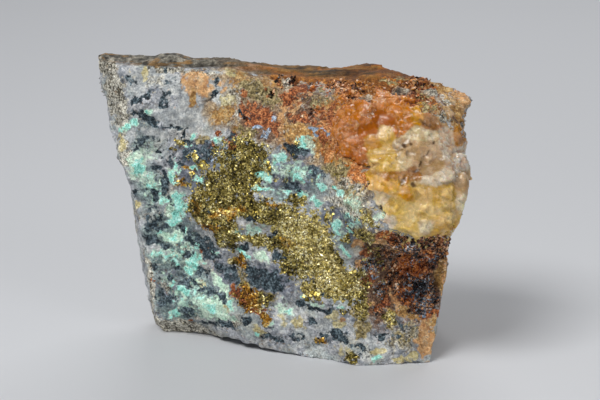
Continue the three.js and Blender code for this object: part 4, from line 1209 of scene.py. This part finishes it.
# %% Grain finishes
def grain_finish(name, shades, metallic, roughness, stain_shades=(), stain=None, lift=None):
    """A finish that runs from dark to light with each grain's tone, lifted and stained by shares."""
    finish, tree, shader = new_finish(name)
    own = calc(tree, "MULTIPLY", kept(tree, "tone"), 0.65)
    within = calc(tree, "MULTIPLY", grain(tree, 0.3)[0], 0.25)
    around = ramp(tree, grain(tree, 2.6, 4)[0], 0.38, 0.62, -0.2, 0.26)
    tone = calc(tree, "ADD", own, within, around)
    if lift:
        tone = calc(tree, "ADD", tone, calc(tree, "MULTIPLY", kept(tree, lift), 0.35))
    colour = tones(tree, tone, *rgb(*shades), low=0.15, high=1)
    if stain:
        stained = tones(tree, tone, *rgb(*stain_shades), low=0.15, high=1)
        colour = blend(tree, ramp(tree, kept(tree, stain), 0.2, 0.7), colour, stained)
    tree.links.new(colour, shader.inputs["Base Color"])
    shader.inputs["Metallic"].default_value = metallic
    shader.inputs["Roughness"].default_value = roughness
    return finish


BRASSY = [(30, 26, 12), (110, 97, 42), (196, 177, 92), (248, 234, 156), (255, 248, 206)]
TARNISHED = [(28, 14, 8), (134, 88, 26), (232, 180, 72), (255, 244, 180)]
RUSTY = [(8, 5, 4), (48, 30, 24), (148, 88, 54), (234, 168, 110), (255, 228, 196)]
RUSTIER = [(70, 30, 12), (150, 74, 28), (206, 120, 52), (236, 176, 110)]
# Pale blue-grey grains, half metal: they stand for the goethite's glints, so partly painted highlight and
# partly real reflection.
SPARKY = [(56, 58, 64), (112, 120, 130), (184, 194, 206), (240, 244, 248)]
CRUST = [(96, 170, 154), (146, 212, 194), (194, 230, 214), (220, 234, 222)]
DARK = [(6, 12, 16), (26, 38, 44), (64, 80, 88), (150, 162, 170)]
# Ore is tarnished by its share of copper, and painted lighter by its share of "bright", a painted
# highlight.
ORE_STAIN = (TARNISHED, "copper", "bright")
FINISHES = {
    "chalcopyrite_grains": grain_finish("chalcopyrite_grains", BRASSY, 0.6, 0.36, *ORE_STAIN),
    "goethite_grains": grain_finish("goethite_grains", RUSTY, 0, 0.2, RUSTIER, "rust"),
    "goethite_sparks": grain_finish("goethite_sparks", SPARKY, 0.5, 0.25),
    "blue_green_crust": grain_finish("blue_green_crust", CRUST, 0, 0.6),
    "rock_grains": rock_finish,
    "dark_grains": grain_finish("dark_grains", DARK, 0, 0.25),
}
FINISHES["chalcopyrite_plates"] = FINISHES["chalcopyrite_grains"]
FINISHES["bright_flakes"] = grain_finish("bright_flakes", BRASSY, 1, 0.5, *ORE_STAIN)
for name, finish in FINISHES.items():
    grains[name].data.materials.append(finish)
print("grain finishes:", sorted({finish.name for finish in FINISHES.values()}))

# %% [markdown]
# ## The lump of quartz
#
# The quartz is one intergrown mass of blocky grains, broken across, glassy on its breaks and milky
# inside. Each block is the hull of random points on a squashed ball, set so that it stands a little
# out of the stone. A slab of the stone's own skin lies under them, so that no rock shows between
# them. A voxel remesh grows them together, where a boolean union of forty hulls would be slow and
# leave knife-sharp edges.

# %% Blocks of quartz
# Each block's x and z, half its width and height, its turn in degrees, up to the right, how far it
# stands out in mm, and its tint.
QUARTZ_BLOCKS = [
    (22.3, 56.2, 2.9, 1.3, -20, 0.2, "amber"), (18.3, 53.4, 2.6, 1.3, 10, 0.1, "amber"),
    (26.8, 56.3, 2.4, 1.8, -10, 0.5, "orange"), (29.6, 56.4, 1.7, 1.5, 0, 0.4, "honey"),
    (26.8, 54.2, 2.7, 1, 15, 0.3, "orange"), (18.9, 57, 2, 1.2, 45, 0.6, "rosy"),
    (23.6, 58.4, 3.2, 1.5, -8, 0.3, "orange"), (15.2, 56.8, 1.9, 1.6, 0, 0.3, "orange"),
    (14.8, 53.4, 1.8, 1.6, 0, 0.3, "rosy"), (13.4, 50.6, 1.9, 2.2, 0, 0.2, "orange"),
    (16.6, 50.6, 1.8, 2, 10, 0.3, "orange"), (16.2, 47.4, 2.2, 1.9, 30, 0.3, "orange"),
    (19.6, 51.4, 2.1, 1.6, 0, 0.6, "honey"), (22.8, 52.4, 2, 1.9, 15, 0.8, "yellow"),
    (25.3, 50.7, 1, 1.5, 20, 0.8, "pearl"), (29.9, 53.4, 3.9, 1.6, -12, 1, "cream"),
    (29.6, 50.4, 4.4, 1.8, 0, 0.8, "smoke"), (26.6, 48.4, 1.6, 2, 0, 0.6, "cream"),
    (22.6, 47.7, 3.6, 2.5, 0, 0.9, "yellow"), (32.6, 47.6, 2.8, 2.2, 0, 0.6, "smoke"),
    (34.3, 45, 4.3, 1.6, 6, 1.1, "pearl"), (36.8, 50, 1.7, 4.3, 14, 0.6, "milk"),
    (24.2, 45.5, 4.4, 0.9, -4, 0.1, "brown"), (28.8, 45.9, 1.6, 1.2, 0, 0, "brown"),
    (22.8, 43.5, 3, 1.5, -10, 0.7, "honey"), (24.2, 42.6, 1.1, 0.8, 0, 0.9, "yellow"),
    (27.2, 41.8, 1, 1.8, 20, 0.3, "honey"), (30.8, 41.8, 3.4, 2.4, 0, 0.9, "yellow"),
    (35.4, 41.4, 3, 2.4, -10, 0.8, "yellow"), (39, 47.4, 1.9, 2.6, 0, 0.5, "milk"),
    (39.3, 43.2, 1.7, 2.3, 0, 0.4, "smoke"), (39, 52.4, 1.4, 2.2, 0, 0.3, "brown"),
    (36, 56.6, 3, 2, -30, 0.1, "smoke"), (32.8, 55.6, 2.4, 1.8, 0, 0, "brown"),
    (27.6, 37.8, 3.2, 2.6, 0, 1, "lemon"), (31.8, 38, 3, 2.4, 0, 1.1, "yellow"),
    (35.8, 37.6, 3, 2.6, -20, 0.7, "yellow"), (24.4, 38.8, 2.2, 2, 20, 0.7, "yellow"),
    (21.4, 40.6, 2, 1.3, 0, 0.5, "cream"), (23.4, 36, 1.7, 1.5, 0, 0.5, "pearl"),
    (27.4, 34.4, 2.8, 1.6, -10, 0.6, "lemon"), (31.4, 35, 2.2, 1.6, 0, 0.8, "cream"),
    (35, 34.8, 2.8, 1.6, 10, 0.6, "yellow"), (39, 39.4, 1.5, 2, 0, 0.5, "cream"),
]
print("blocks of quartz:", len(QUARTZ_BLOCKS))

# %% A slab of skin and the blocks on it
SLAB = 2 * MM
# The slab ends where the quartz's share falls below this.
SLAB_END = 0.45
BLOCK_CORNERS = 14
QUARTZ_NET = 0.25 * MM

block_dice = np.random.default_rng(31)
quartz_centres = points_of(undressed, "polygons", "center")
quartz_faces = shares_at(quartz_centres, QUARTZ_ZONE)["quartz"] * sides(quartz_centres)[0]
shape = bmesh.new()
shape.from_mesh(undressed)
shape.faces.ensure_lookup_table()
beyond = [face for face in shape.faces if quartz_faces[face.index] < SLAB_END]
bmesh.ops.delete(shape, geom=beyond, context="FACES")
bmesh.ops.solidify(shape, geom=shape.faces, thickness=SLAB)


def add_block(place, wide, high, turn, stand):
    """Adds one block's hull to the shape, so that its front stands this far out of a place."""
    places, triangles = chunk(block_dice, BLOCK_CORNERS, 1)
    deep = 0.5 * (wide + high)
    block = Matrix.Translation(place * MM) @ Matrix.Rotation(np.radians(-turn), 4, "Y")
    block = block @ Matrix.Translation((0, (deep - stand) * MM, 0))
    block = block @ Matrix.Diagonal((wide * MM, deep * MM, high * MM, 1))
    corners = [shape.verts.new(block @ Vector(corner)) for corner in places]
    for triangle in triangles:
        shape.faces.new([corners[corner] for corner in triangle])


for x, z, wide, high, turn, stand, _ in QUARTZ_BLOCKS:
    add_block(face_hit(x, z)[0], wide, high, turn, stand)
rough_quartz = bpy.data.meshes.new("rough_quartz")
shape.to_mesh(rough_quartz)
shape.free()
quartz_mesh = remeshed("quartz", rough_quartz, QUARTZ_NET)
print("the quartz has", len(quartz_mesh.polygons), "quads")

# %% [markdown]
# ## Tints of the quartz
#
# Iron has soaked into the quartz unevenly: some blocks are milky, others honey or orange, and
# two at the upper left are deep amber. So each point takes the tint of the block that it is in, and
# the tints melt into each other at the seams. One noise over the whole lump would look like
# marble, and would not follow the breaks.

# %% Tints of the quartz
# How sharply one block's tint gives way to the next.
SEAM = 13
# Each tint's darkest and lightest shade, and how sugary its breaks are.
QUARTZ_SHADES = {
    "amber": ((164, 84, 2), (188, 104, 8), 0), "orange": ((184, 104, 38), (212, 138, 70), 0.7),
    "rosy": ((188, 118, 72), (216, 154, 108), 1), "honey": ((206, 148, 66), (232, 184, 106), 0.3),
    "yellow": ((216, 178, 106), (242, 210, 140), 0.3), "cream": ((214, 192, 148), (236, 220, 184), 0.4),
    "milk": ((198, 184, 164), (226, 216, 200), 0.7), "smoke": ((178, 148, 110), (204, 176, 140), 0.25),
    "brown": ((150, 102, 56), (182, 134, 80), 0.5), "lemon": ((228, 194, 122), (244, 216, 148), 0.25),
    "pearl": ((222, 206, 180), (240, 228, 206), 0.4),
}
# Where painted glints go on the breaks, and dark marks painted as the shade in pits and small cracks.
QUARTZ_MARKS = {
    "sparkle": [
        (22.8, 48.2, 2.2, 1.2, 0, 1), (38.4, 46, 1.2, 3.6, 0, 1), (12.4, 54, 3, 4, 0, 0.5),
        (36, 55.6, 2.2, 1.6, 0, 1), (23.8, 42.8, 1.4, 0.8, 0, 0.8), (31, 43, 2, 1, 0, 0.5),
        (19, 57, 2, 1.4, 0, 0.7), (36.4, 51, 1, 3, 0, 0.6),
    ],
    "pits": [
        (26.7, 50.9, 0.6, 0.3, 0, 1), (28.2, 51.4, 0.4, 0.3, 0, 1), (31.5, 49.4, 1, 0.22, 45, 0.8),
        (30.2, 47.6, 0.5, 0.25, 45, 1), (29.4, 46.3, 1, 0.3, 25, 1), (28.6, 43.8, 0.6, 0.5, 0, 1),
        (33.2, 51.3, 0.3, 0.25, 0, 1), (26.2, 44.3, 1.2, 0.4, 60, 0.8), (31.2, 55.6, 1.4, 0.3, -30, 0.8),
    ],
}


def tints_at(points):
    """Each point's red, green and blue in its quartz block, how sugary and how far inside it is."""
    bent = points + 0.35 * (wandered(points) - points)
    dice = np.random.default_rng(33)
    reach = np.zeros((len(QUARTZ_BLOCKS), len(points)))
    looks = np.zeros((len(QUARTZ_BLOCKS), 4))
    for index, (x, z, wide, high, turn, _, tint) in enumerate(QUARTZ_BLOCKS):
        along, across = turned(bent, x, z, turn)
        reach[index] = (np.abs(along / wide) ** 3 + np.abs(across / high) ** 3) ** (1 / 3)
        *shades, sugary = QUARTZ_SHADES[tint]
        dark, light = (np.array(paint(*shade)[:3]) for shade in shades)
        looks[index] = *(dark + (light - dark) * dice.random()), sugary
    first, second = np.partition(reach, 1, axis=0)[:2]
    weights = np.exp(-SEAM * (reach - first))
    red, green, blue, sugary = looks.T @ (weights / weights.sum(axis=0))
    tints = {"red": red, "green": green, "blue": blue, "sugary": sugary}
    return tints | {"inside": smooth(0, 0.25, second - first)} | shares_at(points, QUARTZ_MARKS, 0.3)


print("the quartz has", len(QUARTZ_BLOCKS), "blocks in", len(QUARTZ_SHADES), "tints")

# %% [markdown]
# ## The quartz's surface
#
# The net steps where the hulls meet, so it is smoothed a few times first. Then it gets the same
# tilted cells as the rock, deep where the quartz is sugary and shallow where it broke like glass.

# %% The quartz's surface
SMOOTHINGS = 4
every_way = {"use_axis_x": True, "use_axis_y": True, "use_axis_z": True}
shape = bmesh.new()
shape.from_mesh(quartz_mesh)
for _ in range(SMOOTHINGS):
    bmesh.ops.smooth_vert(shape, verts=shape.verts, factor=0.5, **every_way)
shape.to_mesh(quartz_mesh)
shape.free()
quartz_skin = points_of(quartz_mesh)
quartz_sugary = 0.25 + 0.75 * tints_at(quartz_skin)["sugary"]
quartz_breaks = facets(quartz_skin, 1.7, 0.3) + facets(quartz_skin, 0.75, 0.12)
quartz_heights = bumps(quartz_skin, 2.6, 0.3) + quartz_sugary * quartz_breaks
quartz_points = quartz_skin + points_of(quartz_mesh, "vertices", "normal") * quartz_heights[:, None]
quartz_mesh.vertices.foreach_set("co", (quartz_points * MM).astype(np.float32).ravel())
quartz_mesh.update()
quartz_mesh.polygons.foreach_set("use_smooth", np.ones(len(quartz_mesh.polygons), bool))
quartz = add_object("quartz", quartz_mesh)
print("relief from", round(quartz_heights.min(), 2), "to", round(quartz_heights.max(), 2), "mm")

# %% Tints kept on the quartz
quartz_tints = tints_at(quartz_points)
for name, values in quartz_tints.items():
    keep(quartz_mesh, name, values)
keep(quartz_mesh, "edge", edges_of(quartz_mesh, quartz_points, 4))
print("tints kept:", list(quartz_tints))

# %% [markdown]
# ## Quartz finish
#
# Milky quartz takes light in and lets it out again nearby, so its shader scatters under the
# surface and is a little clear. Its sugary breaks are laid over that as small cells: some stained,
# some frosted, a few painted near white as glints, which are painted highlights, and each leaning
# its own way through the normal. Edges of the breaks are painted lighter and creases darker, as
# painted highlight and painted shade. A clear shader would show the rock behind instead.

# %% Quartz colour
SUGAR = rgb((150, 84, 36), (196, 118, 58), (220, 150, 92), (226, 180, 136), (216, 158, 82))
quartz_finish, tree, shader = new_finish("milky_quartz")
cloud, *cloud_parts = grain(tree, 2.4, 4)
speck, *speck_parts = grain(tree, 0.5, 3)
edge, inside, sugary = kept(tree, "edge"), kept(tree, "inside"), kept(tree, "sugary")
tint = {n: kept(tree, name) for n, name in enumerate(("red", "green", "blue"))}
# Painted highlight on the edges of the breaks and painted shade in their creases, with clouds, specks and
# darker seams between blocks.
lightness_and_painted_light = calc(
    tree, "MULTIPLY", ramp(tree, cloud, 0.36, 0.64, 0.86, 1.12), ramp(tree, edge, -1, 1, 0.72, 1.2),
    ramp(tree, speck, 0.35, 0.65, 0.92, 1.08), ramp(tree, inside, 0, 1, 0.93, 1),
)
milky = ramp(tree, cloud_parts[0], 0.38, 0.62, 1.2, 0.95)
colour = node(tree, "ShaderNodeCombineColor", tint).outputs[0]
recipe = {"Color": colour, "Saturation": milky, "Value": lightness_and_painted_light}
colour = node(tree, "ShaderNodeHueSaturation", recipe).outputs[0]
colour = blend(tree, ramp(tree, speck_parts[0], 0.59, 0.66, 0, 0.25), colour, paint(120, 76, 42))
hue, strength, _ = crystals(tree, 0.8)
strength = calc(tree, "MULTIPLY", ramp(tree, strength, 0.3, 0.8, 0, 0.6), sugary)
colour = blend(tree, strength, colour, tones(tree, hue, *SUGAR, low=0.1, high=0.9))
leans = crystals(tree, 0.5)
frost = ramp(tree, leans[0], 0.6, 0.95, 0, 0.3)
frost = calc(tree, "MULTIPLY", frost, sugary, ramp(tree, cloud_parts[1], 0.42, 0.6, 0.1, 1))
colour = blend(tree, frost, colour, paint(240, 226, 204))
# Painted shade in the pits and small cracks.
colour = blend(tree, calc(tree, "MULTIPLY", kept(tree, "pits"), 0.9), colour, paint(70, 44, 26))
lighter = calc(tree, "MULTIPLY", ramp(tree, kept(tree, "tone"), 0.5, 1, 0, 0.6), sugary)
colour = blend(tree, lighter, colour, paint(244, 226, 196))
# Painted highlights: a few small cells are painted near white as glints, most where the sparkle marks
# are.
painted_glint_spread = calc(tree, "MULTIPLY", ramp(tree, cloud_parts[2], 0.5, 0.6, 0, 0.35), sugary)
painted_glint_spread = calc(tree, "MAXIMUM", painted_glint_spread, ramp(tree, kept(tree, "sparkle"), 0.3, 0.9, 0, 0.85))
painted_glint = calc(tree, "MULTIPLY", ramp(tree, crystals(tree, 0.4)[1], 0.93, 0.96), painted_glint_spread)
colour = blend(tree, painted_glint, colour, paint(255, 248, 232))
tree.links.new(colour, shader.inputs["Base Color"])
print("the quartz's colour has", len(tree.nodes), "nodes")

# %% Quartz gloss and depth
lean = node(tree, "ShaderNodeCombineXYZ", dict(enumerate(leans))).outputs[0]
lean = node(tree, "ShaderNodeVectorMath", {0: lean, 1: (0.5, 0.5, 0.5)}, operation="SUBTRACT").outputs[0]
hackly = calc(tree, "ADD", calc(tree, "MULTIPLY", sugary, 0.4), 0.1)
lean = node(tree, "ShaderNodeVectorMath", {0: lean, "Scale": hackly}, operation="SCALE").outputs[0]
out = node(tree, "ShaderNodeNewGeometry").outputs["Normal"]
lean = node(tree, "ShaderNodeVectorMath", {0: out, 1: lean}).outputs[0]
lean = node(tree, "ShaderNodeVectorMath", {0: lean}, operation="NORMALIZE").outputs[0]
relief = calc(tree, "ADD", speck, calc(tree, "MULTIPLY", grain(tree, 0.25)[0], 0.5))
bump = node(
    tree, "ShaderNodeBump", {"Height": relief, "Strength": 0.2, "Distance": 0.3 * MM, "Normal": lean}
)
tree.links.new(bump.outputs[0], shader.inputs["Normal"])
MILKY = {
    "Roughness": 0.14, "IOR": 1.55, "Specular IOR Level": 0.35, "Transmission Weight": 0.12,
    "Subsurface Weight": 0.5, "Subsurface Radius": (1, 0.75, 0.35), "Subsurface Scale": 0.9 * MM,
}
for key, value in MILKY.items():
    shader.inputs[key].default_value = value
quartz_mesh.materials.append(quartz_finish)
print("the quartz's graph has", len(tree.nodes), "nodes")

# %% [markdown]
# ## Small grains of quartz
#
# Crumbs of quartz lie on the sugary parts of the lump and along its edge, where it breaks off into
# the rock. They are strewn like the grains of ore, over the lump itself and over the rock beside
# it, and read the same tints, so that they match the block that they lie on or beside.

# %% Small grains of quartz
# Where the edge spreads on over the rock.
FRINGE = {
    "fringe": [(11, 52, 6.4, 3.4, -52, 1), (16.6, 44.4, 2.6, 2, 0, 0.8), (15, 58.4, 4, 1.4, 0, 0.6)],
}
# The grains read this in place of how far they stand out, which sets their painted edge highlight.
CRUMB_EDGE = 0.3
crumb_edge = {"edge": np.full(len(quartz_points), CRUMB_EDGE)}
quartz_ground = ground_of(quartz_mesh, quartz_points, quartz_tints | crumb_edge)
front = quartz_points[:, 1] < middle.y / MM
crumbly = patchy(0.3 * front, quartz_points, 2, 13) * quartz_tints["sugary"]
rock_tints = tints_at(rock_points) | {"edge": np.full(len(skin), CRUMB_EDGE)}
edge_ground = ground_of(net, rock_points, rock_tints)
beside = smooth(0.4, 0.7, shares_at(skin, FRINGE)["fringe"]) * 0.7
around = np.maximum(smooth(0.02, 0.3, quartz_share), beside)
fringe = face_share * around * (1 - smooth(0.5, 0.8, quartz_share))
grains["quartz_grains"] = strewn("quartz_grains", quartz_ground, crumbly, 900, (0.3, 1.2), 26, 0.5, 0.8)
grains["quartz_fringe"] = strewn("quartz_fringe", edge_ground, fringe, 1500, (0.5, 1.7), 27, 0.3, 0.8)
for name in ("quartz_grains", "quartz_fringe"):
    grains[name].data.materials.append(quartz_finish)
SLOTS = {name: kind[-1] for name, kind in GRAIN_KINDS.items()}
SLOTS |= {"bright_flakes": "chalcopyrite", "quartz_grains": "quartz", "quartz_fringe": "quartz"}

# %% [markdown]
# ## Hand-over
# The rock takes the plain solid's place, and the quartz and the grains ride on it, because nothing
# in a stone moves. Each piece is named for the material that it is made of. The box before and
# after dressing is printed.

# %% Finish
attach(rock, "root")
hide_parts(STONE)
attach(quartz, "root")
for name, piece in grains.items():
    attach(piece, "root")

low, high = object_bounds()
print("the finished stone, in mm:", [round(side / MM, 1) for side in high - low])
